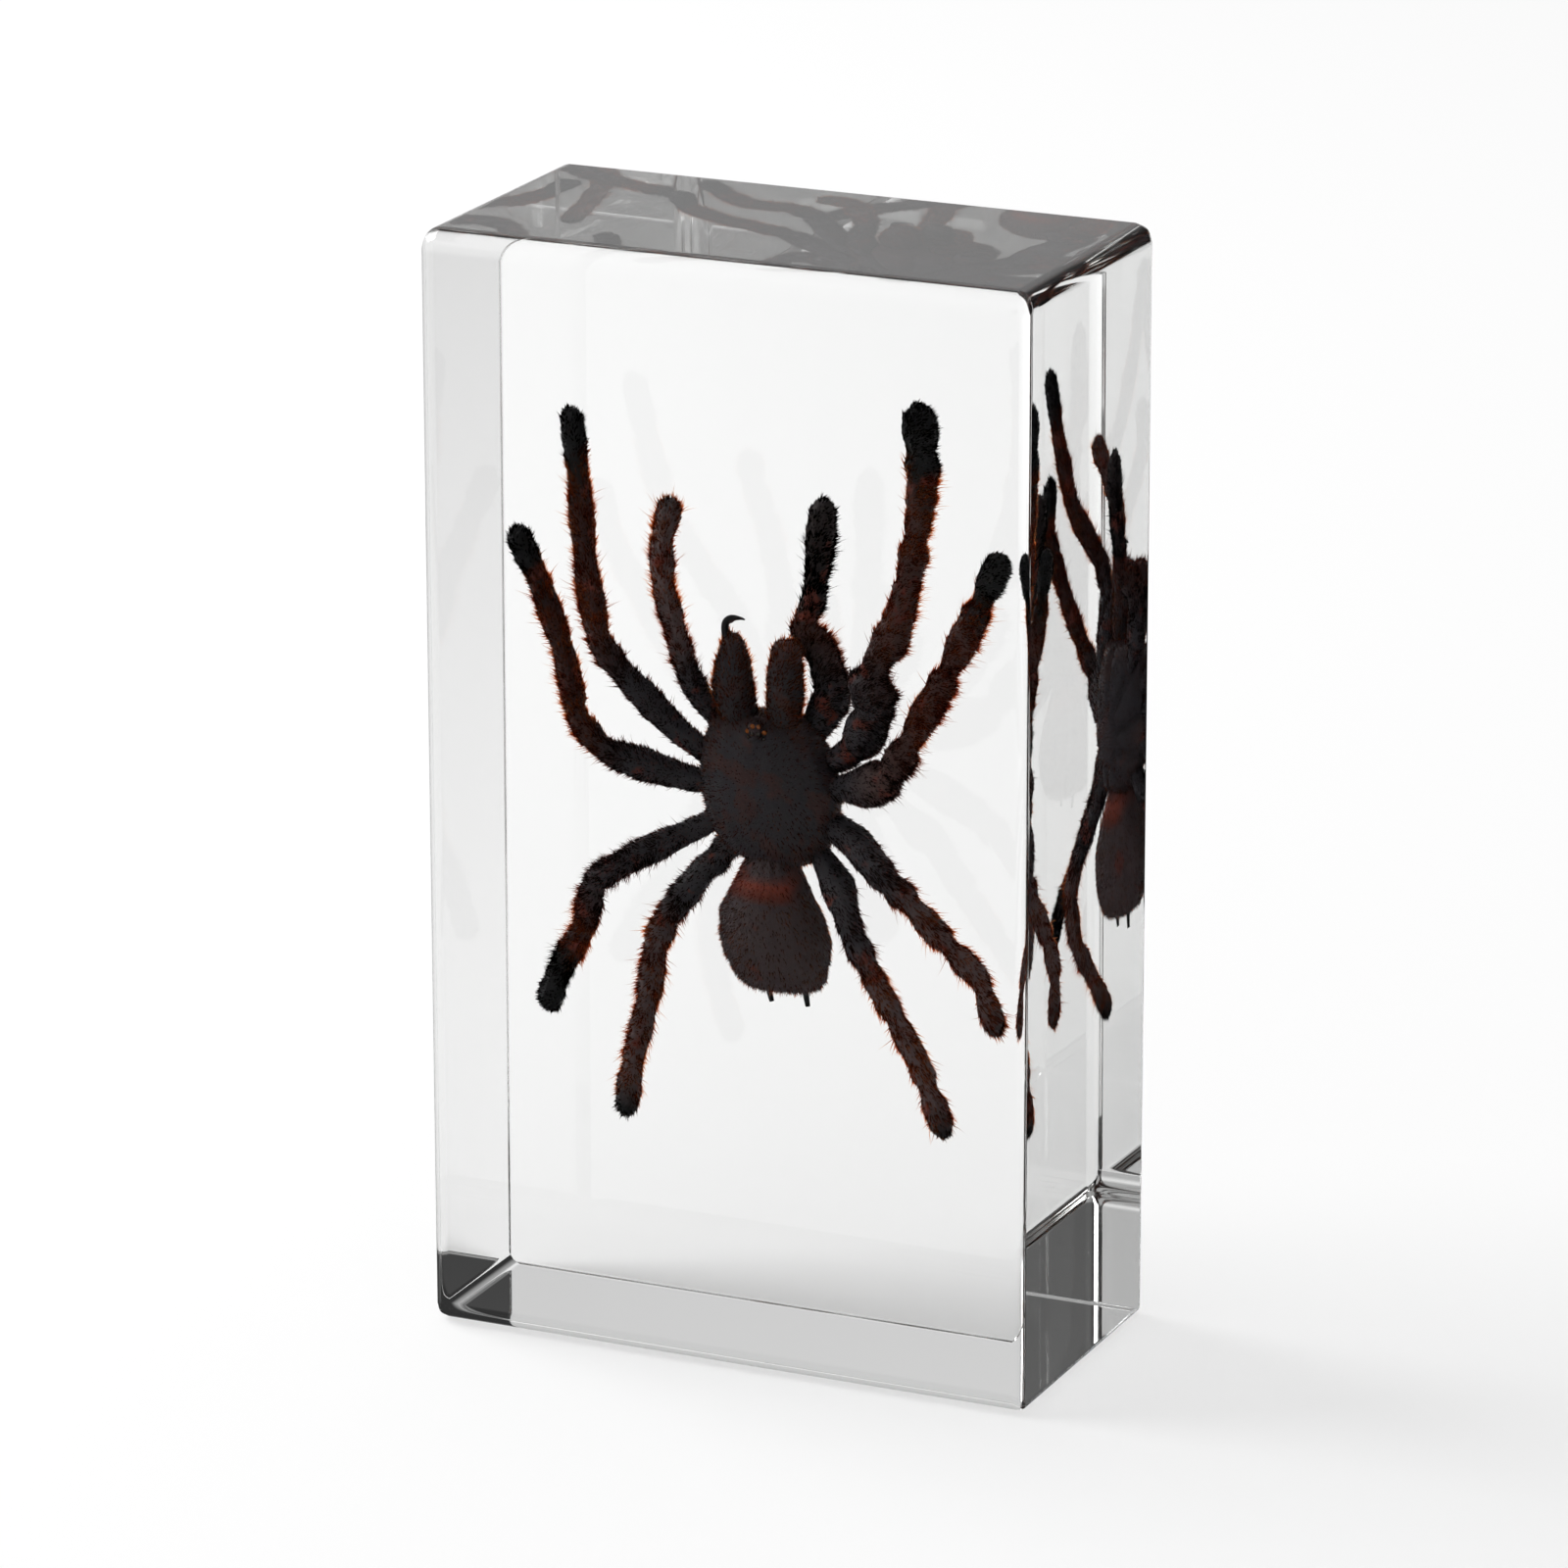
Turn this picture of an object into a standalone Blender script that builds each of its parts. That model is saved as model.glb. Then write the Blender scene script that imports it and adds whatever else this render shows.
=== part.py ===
"""Tarantula sealed upright in a clear resin block.

The block stands on its narrow end. The origin is the middle of its base, +Z is up and the
front face looks along -Y. The spider's back faces the front and its head is up. Sizes in the
tables are millimetres, and MM turns them into metres.
"""
import math

import bmesh
import bpy
from mathutils import Vector

MM = 0.001

# Block
BLOCK_WIDTH = 63.0
BLOCK_DEPTH = 31.0
BLOCK_HEIGHT = 110.0
EDGE_RADIUS = 1.6
EDGE_SEGMENTS = 4
PARTING_Y = 1.0
CAST_GAP = 0.3

# Spider
CLEARANCE = 0.3
LIMB_SIDES = 8
BODY_SIDES = 16
POCKET_LIMB_SIDES = 6
POCKET_BODY_SIDES = 12

# Body rings, from the tail end to the head end: height, half width, half depth, middle X and Y
CEPHALOTHORAX_RINGS = (
    (48.6, 2.9, 2.0, 1.4, 1.4),
    (49.6, 4.7, 3.5, 1.35, 1.2),
    (51.5, 6.3, 4.4, 1.3, 0.9),
    (54.2, 7.2, 4.9, 1.25, 0.6),
    (57.2, 7.4, 5.0, 1.1, 0.4),
    (60.0, 7.0, 4.8, 0.9, 0.3),
    (62.3, 5.8, 4.3, 0.7, 0.4),
    (63.8, 4.4, 3.2, 0.6, 0.6),
)
EYE_MOUND_RADIUS = 1.1
EYE_MOUND_PLACE = (0.65, -3.4, 62.6)
ABDOMEN_RINGS = (
    (35.3, 1.9, 1.6, 2.2, 1.6),
    (36.0, 3.6, 3.2, 2.1, 1.4),
    (37.3, 4.8, 4.7, 1.9, 1.1),
    (39.2, 5.6, 5.6, 1.7, 0.9),
    (41.4, 5.9, 6.0, 1.5, 0.8),
    (43.9, 5.45, 5.6, 1.15, 0.8),
    (46.5, 3.95, 4.4, 1.05, 0.8),
    (49.4, 2.7, 2.9, 1.3, 1.0),
)
SPINNERET_LENGTH = 1.8
SPINNERET_RADIUS = 0.4
SPINNERET_FEET = ((0.55, 1.6, 36.2), (4.4, 1.6, 36.4))

# Each jaw keeps to its own middle X, so its rings give a shift from that. The right one is blunt.
CHELICERA_X = {"left": -2.3, "right": 3.1}
CHELICERA_RINGS = {
    "left": (
        (61.6, 1.85, 2.1, 0.0, -0.6),
        (63.8, 2.2, 2.4, 0.0, -1.0),
        (66.6, 2.2, 2.5, 0.0, -1.4),
        (69.2, 1.75, 2.1, 0.0, -1.5),
        (70.9, 1.15, 1.4, 0.0, -1.4),
        (71.6, 0.5, 0.6, 0.0, -1.3),
    ),
    "right": (
        (61.6, 1.85, 2.1, 0.0, -0.6),
        (63.8, 2.05, 2.4, 0.0, -1.0),
        (66.6, 1.95, 2.5, 0.0, -1.4),
        (69.2, 1.8, 2.2, 0.1, -1.5),
        (70.9, 1.5, 1.7, 0.2, -1.4),
        (71.6, 0.9, 1.0, 0.2, -1.3),
    ),
}
FANG_RADIUS = 0.5
FANG_TIP_RADIUS = 0.16
# The left fang hooks up past the jaw, and the right one is folded under it
FANG_PATHS = {
    "left": ((-2.7, -1.4, 70.2), (-3.1, -1.5, 72.2), (-2.6, -1.6, 73.0), (-1.2, -1.6, 73.2)),
    "right": ((3.3, -1.2, 70.6), (3.2, 1.0, 71.0), (2.9, 1.9, 69.6), (2.7, 2.0, 67.6)),
}

# Limbs. Root is where the limb starts inside the body. Each segment is its length, its heading
# (0 towards the head, 90 straight out to its own side, 180 towards the tail), its lift towards
# the front face and its half thickness with the bristles.
LIMBS = {
    "leg_left_1": ((-5.8, 1.2, 58.4), (
        (3.0, 47, 24, 1.6),
        (9.7, 38, 31, 1.8),
        (4.0, 40, 0, 1.65),
        (8.6, 23, -36, 1.65),
        (8.2, 10, -18, 1.55),
        (7.6, 10, -11, 1.5),
    )),
    "leg_left_2": ((-6.6, 1.5, 55.5), (
        (2.4, 63, 38, 1.6),
        (8.1, 73, 26, 1.8),
        (4.2, 48, -7, 1.6),
        (6.8, 20, -26, 1.55),
        (7.7, 26, -15, 1.55),
        (6.2, 21, 19, 1.6),
    )),
    "leg_left_3": ((-5.6, 1.5, 51.7), (
        (2.7, 116, 34, 1.5),
        (8.1, 118, 34, 1.7),
        (3.5, 128, 0, 1.65),
        (6.0, 162, -25, 1.6),
        (7.1, 147, -21, 1.55),
        (5.0, 158, -17, 1.6),
    )),
    "leg_left_4": ((-4.2, 2.5, 48.6), (
        (2.7, 129, 11, 1.7),
        (7.2, 141, -16, 1.75),
        (3.9, 155, -7, 1.75),
        (5.6, 176, 16, 1.65),
        (6.7, 176, 42, 1.45),
        (7.1, 183, 40, 1.5),
    )),
    "leg_right_1": ((8.6, 0.5, 59.8), (
        (3.2, 40, 28, 1.7),
        (7.6, 36, 41, 2.15),
        (3.2, -8, 18, 1.95),
        (8.4, 23, -10, 1.9),
        (11.6, 9, 0, 1.65),
        (8.4, -3, 0, 2.05),
    )),
    "leg_right_2": ((7.9, 1.5, 56.7), (
        (3.0, 71, 41, 1.5),
        (6.8, 65, 42, 1.8),
        (4.9, 33, 24, 1.8),
        (8.6, 28, 0, 1.75),
        (7.8, 25, 0, 1.7),
        (6.4, 25, 4, 1.65),
    )),
    "leg_right_3": ((7.7, 1.5, 53.8), (
        (2.6, 122, 35, 1.5),
        (6.2, 126, 29, 1.7),
        (3.0, 128, 0, 1.65),
        (5.3, 137, -11, 1.6),
        (5.1, 129, 6, 1.5),
        (6.0, 156, 19, 1.4),
    )),
    "leg_right_4": ((5.7, 2.5, 50.5), (
        (2.2, 133, 28, 1.6),
        (6.1, 141, 48, 1.75),
        (3.0, 155, 19, 1.65),
        (5.3, 147, 11, 1.6),
        (8.6, 145, 10, 1.45),
        (7.7, 158, 4, 1.5),
    )),
    "pedipalp_left": ((-4.8, 3.0, 61.1), (
        (3.0, 28, 30, 1.35),
        (6.2, 10, 47, 1.55),
        (3.4, 11, 17, 1.5),
        (5.2, 15, 6, 1.5),
        (5.0, 12, -30, 1.5),
        (4.9, -6, -38, 1.5),
    )),
    "pedipalp_right": ((5.3, 2.5, 61.5), (
        (2.9, 28, 14, 1.3),
        (3.0, 15, 8, 1.45),
        (2.8, -22, -9, 1.45),
        (3.7, -37, -26, 1.5),
        (4.8, 2, -25, 1.45),
        (8.4, 4, -8, 1.7),
    )),
}

# Places of the rings along one limb segment, and their share of its half thickness
SEGMENT_PROFILE = ((0.12, 0.84), (0.5, 1.0), (0.88, 0.88))
TIP_PROFILE = ((0.12, 0.84), (0.55, 1.0), (0.84, 0.92), (0.96, 0.55))
POCKET_PROFILE = ((0.14, 1.0), (0.86, 1.0))

# Colour and roughness of each kind of piece
FINISHES = {
    "resin": ((0.93, 0.95, 0.95, 1.0), 0.04),
    "cephalothorax": ((0.022, 0.016, 0.015, 1.0), 0.55),
    "abdomen": ((0.045, 0.014, 0.009, 1.0), 0.75),
    "chelicera": ((0.020, 0.014, 0.015, 1.0), 0.50),
    "leg": ((0.040, 0.013, 0.009, 1.0), 0.70),
    "pedipalp": ((0.038, 0.013, 0.010, 1.0), 0.70),
}


def clear_scene():
    """Start from an empty scene."""
    for thing in list(bpy.data.objects):
        bpy.data.objects.remove(thing)


def finish(kind):
    """One shared material for each kind of piece."""
    found = bpy.data.materials.get(kind)
    if found:
        return found
    colour, roughness = FINISHES[kind]
    material = bpy.data.materials.new(kind)
    material.use_nodes = True
    shader = material.node_tree.nodes["Principled BSDF"]
    shader.inputs["Base Color"].default_value = colour
    shader.inputs["Roughness"].default_value = roughness
    shader.inputs["Metallic"].default_value = 0.0
    if kind == "resin":
        shader.inputs["Transmission Weight"].default_value = 1.0
        shader.inputs["IOR"].default_value = 1.5
    return material


def add_piece(name, mesh, kind):
    """Put a mesh in the scene as a named piece with its own finish."""
    mesh.materials.append(finish(kind))
    piece = bpy.data.objects.new(name, mesh)
    bpy.context.scene.collection.objects.link(piece)
    return piece


def add_cutter(name, mesh):
    """A tool shape that is only subtracted or joined, never part of the model itself."""
    cutter = bpy.data.objects.new(name, mesh)
    bpy.context.scene.collection.objects.link(cutter)
    cutter.hide_render = True
    cutter.display_type = "WIRE"
    return cutter


def combine(piece, other, operation):
    """Exact Boolean of two objects, kept as a modifier."""
    boolean = piece.modifiers.new(operation.lower() + "_" + other.name, "BOOLEAN")
    boolean.operation = operation
    boolean.solver = "EXACT"
    boolean.object = other


def ring_points(centre, along, half_width, half_depth, sides, reference):
    """Points of one oval ring that stands square to the direction along it."""
    along = along.normalized()
    across = along.cross(reference).normalized()
    outward = across.cross(along)
    points = []
    for step in range(sides):
        turn = 2 * math.pi * (step + 0.5) / sides
        offset = across * (half_width * math.cos(turn)) + outward * (half_depth * math.sin(turn))
        points.append((centre + offset) * MM)
    return points


def loft(name, rings, sides, reference=Vector((0, 1, 0))):
    """Closed skin over a row of rings, each a centre, a direction and two half sizes."""
    shape = bmesh.new()
    loops = []
    for centre, along, half_width, half_depth in rings:
        points = ring_points(centre, along, half_width, half_depth, sides, reference)
        loops.append([shape.verts.new(point) for point in points])
    for lower, upper in zip(loops[:-1], loops[1:]):
        for step in range(sides):
            after = (step + 1) % sides
            shape.faces.new((lower[step], lower[after], upper[after], upper[step]))
    shape.faces.new(list(reversed(loops[0])))
    shape.faces.new(loops[-1])
    bmesh.ops.recalc_face_normals(shape, faces=shape.faces)
    bmesh.ops.triangulate(shape, faces=shape.faces)
    mesh = bpy.data.meshes.new(name)
    shape.to_mesh(mesh)
    shape.free()
    mesh.shade_smooth()
    return mesh


def grown(size, sides):
    """Half size of a faceted ring whose flats clear the real one by the clearance."""
    return (size + CLEARANCE) / math.cos(math.pi / sides)


def body_rings(table, shift_x, grow):
    """Rings of a body part, stacked along Z."""
    rings = []
    for height, half_width, half_depth, middle_x, middle_y in table:
        centre = Vector((middle_x + shift_x, middle_y, height))
        rings.append([centre, Vector((0, 0, 1)), half_width, half_depth])
    for ring in rings:
        if grow:
            ring[2] = grown(ring[2], POCKET_BODY_SIDES)
            ring[3] = grown(ring[3], POCKET_BODY_SIDES)
    if grow:
        rings[0][0].z -= CLEARANCE
        rings[-1][0].z += CLEARANCE
    return rings


def segment_direction(side, heading, lift):
    """Unit direction of a limb segment from its heading and its lift to the front."""
    heading = math.radians(heading)
    lift = math.radians(lift)
    flat = math.cos(lift)
    return Vector((side * math.sin(heading) * flat, -math.sin(lift), math.cos(heading) * flat))


def limb_rings(root, segments, side, grow):
    """Rings of a jointed limb, thin at its joints and full along each segment."""
    rings = []
    joint = Vector(root)
    directions = [segment_direction(side, segment[1], segment[2]) for segment in segments]
    last = len(segments) - 1
    for index, (length, _, _, girth) in enumerate(segments):
        along = directions[index]
        before = directions[max(index - 1, 0)]
        after = directions[min(index + 1, last)]
        profile = TIP_PROFILE if index == last else SEGMENT_PROFILE
        if grow:
            profile = POCKET_PROFILE
        for share, fullness in profile:
            turned = along
            if share < 0.3:
                turned = along * 3 + before
            elif share > 0.7:
                turned = along * 3 + after
            radius = girth * fullness
            if grow:
                radius = grown(radius, POCKET_LIMB_SIDES)
            rings.append([joint + along * (length * share), turned, radius, radius])
        joint = joint + along * length
    end_radius = rings[-1][2] * 0.4
    if grow:
        rings[0][0] = Vector(root)
        joint = joint + directions[-1] * CLEARANCE
    rings.append([joint, directions[-1], end_radius, end_radius])
    return rings


def side_of(name):
    """-1 for a left limb and 1 for a right one."""
    return -1 if "left" in name else 1


def eye_mound(name, margin):
    """Low ball that stands out of the front body, larger all round by the margin."""
    shape = bmesh.new()
    bmesh.ops.create_icosphere(shape, subdivisions=2, radius=(EYE_MOUND_RADIUS + margin) * MM)
    bmesh.ops.translate(shape, verts=shape.verts, vec=Vector(EYE_MOUND_PLACE) * MM)
    mesh = bpy.data.meshes.new(name)
    shape.to_mesh(mesh)
    shape.free()
    mesh.shade_smooth()
    return mesh


def make_cephalothorax():
    """Front body with the low mound that carries the eyes."""
    body = loft("cephalothorax", body_rings(CEPHALOTHORAX_RINGS, 0.0, False), BODY_SIDES)
    piece = add_piece("cephalothorax", body, "cephalothorax")
    combine(piece, add_cutter("eye_mound_tool", eye_mound("eye_mound_tool", 0.0)), "UNION")
    return piece


def make_body_clearance():
    """The cephalothorax grown by the clearance, which trims all that grows from it."""
    name = "cephalothorax_clearance"
    rings = body_rings(CEPHALOTHORAX_RINGS, 0.0, True)
    return add_cutter(name, loft(name, rings, POCKET_BODY_SIDES))


def spike(name, path, root_radius, tip_radius, sides, grow):
    """Tapering hook or cone along a few points."""
    points = [Vector(point) for point in path]
    rings = []
    for index, point in enumerate(points):
        along = points[min(index + 1, len(points) - 1)] - points[max(index - 1, 0)]
        share = index / (len(points) - 1)
        radius = root_radius + (tip_radius - root_radius) * share
        if grow:
            radius = grown(radius, sides)
        rings.append([point, along, radius, radius])
    if grow:
        rings[-1][0] = points[-1] + (points[-1] - points[-2]).normalized() * CLEARANCE
    if len(points) == 2:
        return loft(name, rings, sides)
    hook_plane = (points[1] - points[0]).cross(points[-1] - points[-2])
    return loft(name, rings, sides, hook_plane)


def spinneret_path(foot):
    """A spinneret points straight to the tail."""
    return (foot, (foot[0], foot[1], foot[2] - SPINNERET_LENGTH))


def make_abdomen(trim):
    """Rear body with its pair of spinnerets."""
    rings = body_rings(ABDOMEN_RINGS, 0.0, False)
    piece = add_piece("abdomen", loft("abdomen", rings, BODY_SIDES), "abdomen")
    combine(piece, trim, "DIFFERENCE")
    for number, foot in enumerate(SPINNERET_FEET, 1):
        name = "spinneret_tool_%d" % number
        path = spinneret_path(foot)
        cone = spike(name, path, SPINNERET_RADIUS, FANG_TIP_RADIUS, LIMB_SIDES, False)
        combine(piece, add_cutter(name, cone), "UNION")
    return piece


def make_chelicera(side, trim):
    """One jaw with its fang."""
    name = "chelicera_" + side
    rings = body_rings(CHELICERA_RINGS[side], CHELICERA_X[side], False)
    piece = add_piece(name, loft(name, rings, BODY_SIDES), "chelicera")
    combine(piece, trim, "DIFFERENCE")
    tool = "fang_tool_" + side
    fang = spike(tool, FANG_PATHS[side], FANG_RADIUS, FANG_TIP_RADIUS, LIMB_SIDES, False)
    combine(piece, add_cutter(tool, fang), "UNION")
    return piece


def make_limb(name, trim):
    """One leg or pedipalp, cut where it meets the body."""
    root, segments = LIMBS[name]
    kind = "leg" if name.startswith("leg") else "pedipalp"
    rings = limb_rings(root, segments, side_of(name), False)
    piece = add_piece(name, loft(name, rings, LIMB_SIDES), kind)
    combine(piece, trim, "DIFFERENCE")
    return piece


def pocket_body(name, table, shift_x):
    """Room for one part of the body."""
    rings = body_rings(table, shift_x, True)
    return add_cutter(name, loft(name, rings, POCKET_BODY_SIDES))


def pocket_spike(name, path, root_radius):
    """Room for one fang or spinneret."""
    cone = spike(name, path, root_radius, FANG_TIP_RADIUS, POCKET_LIMB_SIDES, True)
    return add_cutter(name, cone)


def make_pocket_tools():
    """Every piece of the spider grown by the clearance, together the shape of the pocket."""
    tools = [
        pocket_body("pocket_cephalothorax", CEPHALOTHORAX_RINGS, 0.0),
        pocket_body("pocket_abdomen", ABDOMEN_RINGS, 0.0),
    ]
    mound = eye_mound("pocket_eye_mound", grown(0.0, LIMB_SIDES))
    tools.append(add_cutter("pocket_eye_mound", mound))
    for side, middle_x in CHELICERA_X.items():
        tools.append(pocket_body("pocket_chelicera_" + side, CHELICERA_RINGS[side], middle_x))
        tools.append(pocket_spike("pocket_fang_" + side, FANG_PATHS[side], FANG_RADIUS))
    for number, foot in enumerate(SPINNERET_FEET, 1):
        name = "pocket_spinneret_%d" % number
        tools.append(pocket_spike(name, spinneret_path(foot), SPINNERET_RADIUS))
    for limb, (root, segments) in LIMBS.items():
        name = "pocket_" + limb
        rings = limb_rings(root, segments, side_of(limb), True)
        tools.append(add_cutter(name, loft(name, rings, POCKET_LIMB_SIDES)))
    return tools


def box_mesh(name, low, high):
    """Plain box between two corners in millimetres."""
    low = Vector(low)
    high = Vector(high)
    shape = bmesh.new()
    bmesh.ops.create_cube(shape, size=1.0)
    bmesh.ops.scale(shape, verts=shape.verts, vec=(high - low) * MM)
    bmesh.ops.translate(shape, verts=shape.verts, vec=(high + low) * 0.5 * MM)
    mesh = bpy.data.meshes.new(name)
    shape.to_mesh(mesh)
    shape.free()
    return mesh


def make_cast_layer(name, low_y, high_y, pocket_tools):
    """One of the two clear layers: the rounded block cut at the parting plane and hollowed."""
    half_width = BLOCK_WIDTH / 2
    half_depth = BLOCK_DEPTH / 2
    low = (-half_width, -half_depth, 0)
    high = (half_width, half_depth, BLOCK_HEIGHT)
    piece = add_piece(name, box_mesh(name, low, high), "resin")
    bevel = piece.modifiers.new("rounded_edges", "BEVEL")
    bevel.width = EDGE_RADIUS * MM
    bevel.segments = EDGE_SEGMENTS
    beyond = 5.0
    slab_low = (-half_width - beyond, low_y, -beyond)
    slab_high = (half_width + beyond, high_y, BLOCK_HEIGHT + beyond)
    slab = add_cutter(name + "_slab", box_mesh(name + "_slab", slab_low, slab_high))
    combine(piece, slab, "INTERSECT")
    for tool in pocket_tools:
        combine(piece, tool, "DIFFERENCE")
    return piece


def build():
    """Make the spider, then the two clear layers around it."""
    clear_scene()
    make_cephalothorax()
    trim = make_body_clearance()
    make_abdomen(trim)
    make_chelicera("left", trim)
    make_chelicera("right", trim)
    for name in LIMBS:
        make_limb(name, trim)
    pocket_tools = make_pocket_tools()
    beyond = BLOCK_DEPTH
    make_cast_layer("block_front", -beyond, PARTING_Y - CAST_GAP / 2, pocket_tools)
    make_cast_layer("block_back", PARTING_Y + CAST_GAP / 2, beyond, pocket_tools)


build()
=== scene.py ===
# %% [markdown]
# # A tarantula in a block of clear resin
#
# The real object is a dried tarantula cast upright in a clear block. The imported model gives
# every piece its place, so this lesson only makes the looks: the polished block, the bristly
# spider in it, and a white studio round them.

import math

import bmesh
import bpy
from mathutils import Matrix, Vector, noise
from mathutils.bvhtree import BVHTree


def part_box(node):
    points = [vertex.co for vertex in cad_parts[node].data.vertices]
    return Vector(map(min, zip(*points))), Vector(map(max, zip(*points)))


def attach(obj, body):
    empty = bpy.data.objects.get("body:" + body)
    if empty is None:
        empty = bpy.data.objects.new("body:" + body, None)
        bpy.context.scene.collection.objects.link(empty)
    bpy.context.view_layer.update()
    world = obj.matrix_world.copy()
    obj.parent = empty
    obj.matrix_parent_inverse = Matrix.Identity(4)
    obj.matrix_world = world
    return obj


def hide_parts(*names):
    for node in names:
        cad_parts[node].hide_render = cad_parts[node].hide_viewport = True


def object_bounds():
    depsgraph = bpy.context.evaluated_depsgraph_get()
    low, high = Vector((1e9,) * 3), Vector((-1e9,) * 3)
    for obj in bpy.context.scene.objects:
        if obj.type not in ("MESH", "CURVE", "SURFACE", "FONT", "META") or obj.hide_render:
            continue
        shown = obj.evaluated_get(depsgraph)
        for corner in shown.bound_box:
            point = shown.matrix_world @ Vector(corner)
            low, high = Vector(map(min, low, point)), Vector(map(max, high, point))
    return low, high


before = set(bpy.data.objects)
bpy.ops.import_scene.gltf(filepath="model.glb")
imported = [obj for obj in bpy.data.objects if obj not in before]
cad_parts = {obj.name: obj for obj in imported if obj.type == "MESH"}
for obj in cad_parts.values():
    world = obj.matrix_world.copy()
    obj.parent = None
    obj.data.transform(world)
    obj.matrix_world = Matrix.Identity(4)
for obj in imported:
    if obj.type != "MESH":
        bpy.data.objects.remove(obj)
cad_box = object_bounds()
MM = 0.001
print("CAD nodes:", sorted(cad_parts))

# %% [markdown]
# ## Camera
#
# The block is seen a little from its right and from above, through a long lens, so its upright
# edges stay almost parallel. A camera can be aimed with a constraint or a matrix. A matrix made
# from the two viewing angles keeps every number readable.

# %% Camera
VIEW_AZIMUTH = math.radians(24.53)
VIEW_ELEVATION = math.radians(17.45)
VIEW_ROLL = math.radians(-0.11)
VIEW_DISTANCE = 808.5 * MM
VIEW_SLIDE = (-0.24 * MM, -0.21 * MM)
LENS_MM = 192.7
SENSOR_MM = 36
NEAREST = 0.01

low, high = (Vector(corner) for corner in cad_box)
block_centre = (low + high) / 2


def add_object(name, data):
    """New object in the scene, with this data."""
    thing = bpy.data.objects.new(name, data)
    bpy.context.scene.collection.objects.link(thing)
    return thing


def camera_matrix():
    """Place and turn of the camera: right, up and back as columns."""
    back = Vector((
        math.sin(VIEW_AZIMUTH) * math.cos(VIEW_ELEVATION),
        -math.cos(VIEW_AZIMUTH) * math.cos(VIEW_ELEVATION),
        math.sin(VIEW_ELEVATION),
    ))
    right = Vector((0, 0, 1)).cross(back).normalized()
    up = back.cross(right)
    turned_right = right * math.cos(VIEW_ROLL) + up * math.sin(VIEW_ROLL)
    turned_up = up * math.cos(VIEW_ROLL) - right * math.sin(VIEW_ROLL)
    place = block_centre + back * VIEW_DISTANCE
    place += turned_right * VIEW_SLIDE[0] + turned_up * VIEW_SLIDE[1]
    turn = Matrix((turned_right, turned_up, back)).transposed().to_4x4()
    return Matrix.Translation(place) @ turn


camera_data = bpy.data.cameras.new("camera")
camera_data.lens = LENS_MM
camera_data.sensor_width = SENSOR_MM
camera_data.clip_start = NEAREST
camera = add_object("camera", camera_data)
camera.matrix_world = camera_matrix()
bpy.context.scene.camera = camera
print("camera at", [round(value, 3) for value in camera.matrix_world.translation])

# %% [markdown]
# ## Node helpers
#
# The world, the finishes and the bristles are trees of nodes. Made line by line, their numbers
# would drown in wiring, so these helpers make a node in one call, from plain values and from the
# outputs of other nodes.

# %% Node helpers
def feed(tree, node, inputs):
    """Set each input of a node to a value, or link it to another node's output."""
    for name, value in inputs.items():
        socket = node.inputs[name]
        if isinstance(value, bpy.types.NodeSocket):
            tree.links.new(value, socket)
        elif socket.type == "RGBA":
            socket.default_value = (*value, 1.0)
        else:
            socket.default_value = value


def add_node(tree, kind, inputs=None, **settings):
    """Add a node, set its properties and feed its inputs, by name or by number."""
    node = tree.nodes.new(kind)
    for name, value in settings.items():
        setattr(node, name, value)
    feed(tree, node, inputs or {})
    return node


def float_math(tree, operation, *values):
    """Result of a Math node."""
    node = add_node(tree, "ShaderNodeMath", dict(enumerate(values)), operation=operation)
    return node.outputs[0]


def vector_math(tree, operation, first, second=None):
    """Result of a Vector Math node."""
    inputs = {0: first}
    if second is not None:
        inputs["Scale" if operation == "SCALE" else 1] = second
    node = add_node(tree, "ShaderNodeVectorMath", inputs, operation=operation)
    return node.outputs["Value" if operation == "DOT_PRODUCT" else "Vector"]


def between(tree, source, start, end, low_value=0.0, high_value=1.0, way="SMOOTHSTEP"):
    """Number that goes from a low to a high value as its source goes from start to end."""
    node = add_node(tree, "ShaderNodeMapRange", {
        "Value": source, "From Min": start, "From Max": end,
        "To Min": low_value, "To Max": high_value,
    }, interpolation_type=way)
    return node.outputs[0]


# %% [markdown]
# ## Studio
#
# Glass shows only what stands round it. The block was lit as clear things usually are: a bright
# table, a large soft light overhead and dark surroundings near the horizon, which draw the dark
# lines along the rounded edges. Two soft glows stand to the left. A world shader can hold all of
# that, because it can be made brighter or darker by direction. Rays straight from the camera see
# plain white instead.

# %% World
WHITE = (1.0, 1.0, 1.0)
SKY_LOW = 0.035
SKY_HIGH = 0.52
SKY_LOW_HEIGHT = 0.30
SKY_HIGH_HEIGHT = 0.68
HORIZON_BLUR = 0.02
BELOW_TABLE = 0.02
GLOWS = {  # direction, cosine at its edge and at its core, strength
    "back_left": ((-0.52, 0.82, 0.26), 0.80, 0.92, 0.64),
    "front_left": ((-0.50, -0.82, 0.26), 0.86, 0.96, 0.09),
}


def studio_brightness(tree):
    """Dark near the horizon, bright overhead, black below the table, and the two glows."""
    direction = add_node(tree, "ShaderNodeTexCoord").outputs["Generated"]
    height = add_node(tree, "ShaderNodeSeparateXYZ", {0: direction}).outputs["Z"]
    sky = between(tree, height, SKY_LOW_HEIGHT, SKY_HIGH_HEIGHT, SKY_LOW, SKY_HIGH)
    horizon = between(tree, height, -HORIZON_BLUR, HORIZON_BLUR, BELOW_TABLE, 1.0, "LINEAR")
    total = float_math(tree, "MULTIPLY", sky, horizon)
    for towards, edge, core, strength in GLOWS.values():
        nearness = vector_math(tree, "DOT_PRODUCT", direction, Vector(towards).normalized())
        glow = between(tree, nearness, edge, core, 0.0, strength)
        total = float_math(tree, "ADD", total, glow)
    return total


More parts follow.
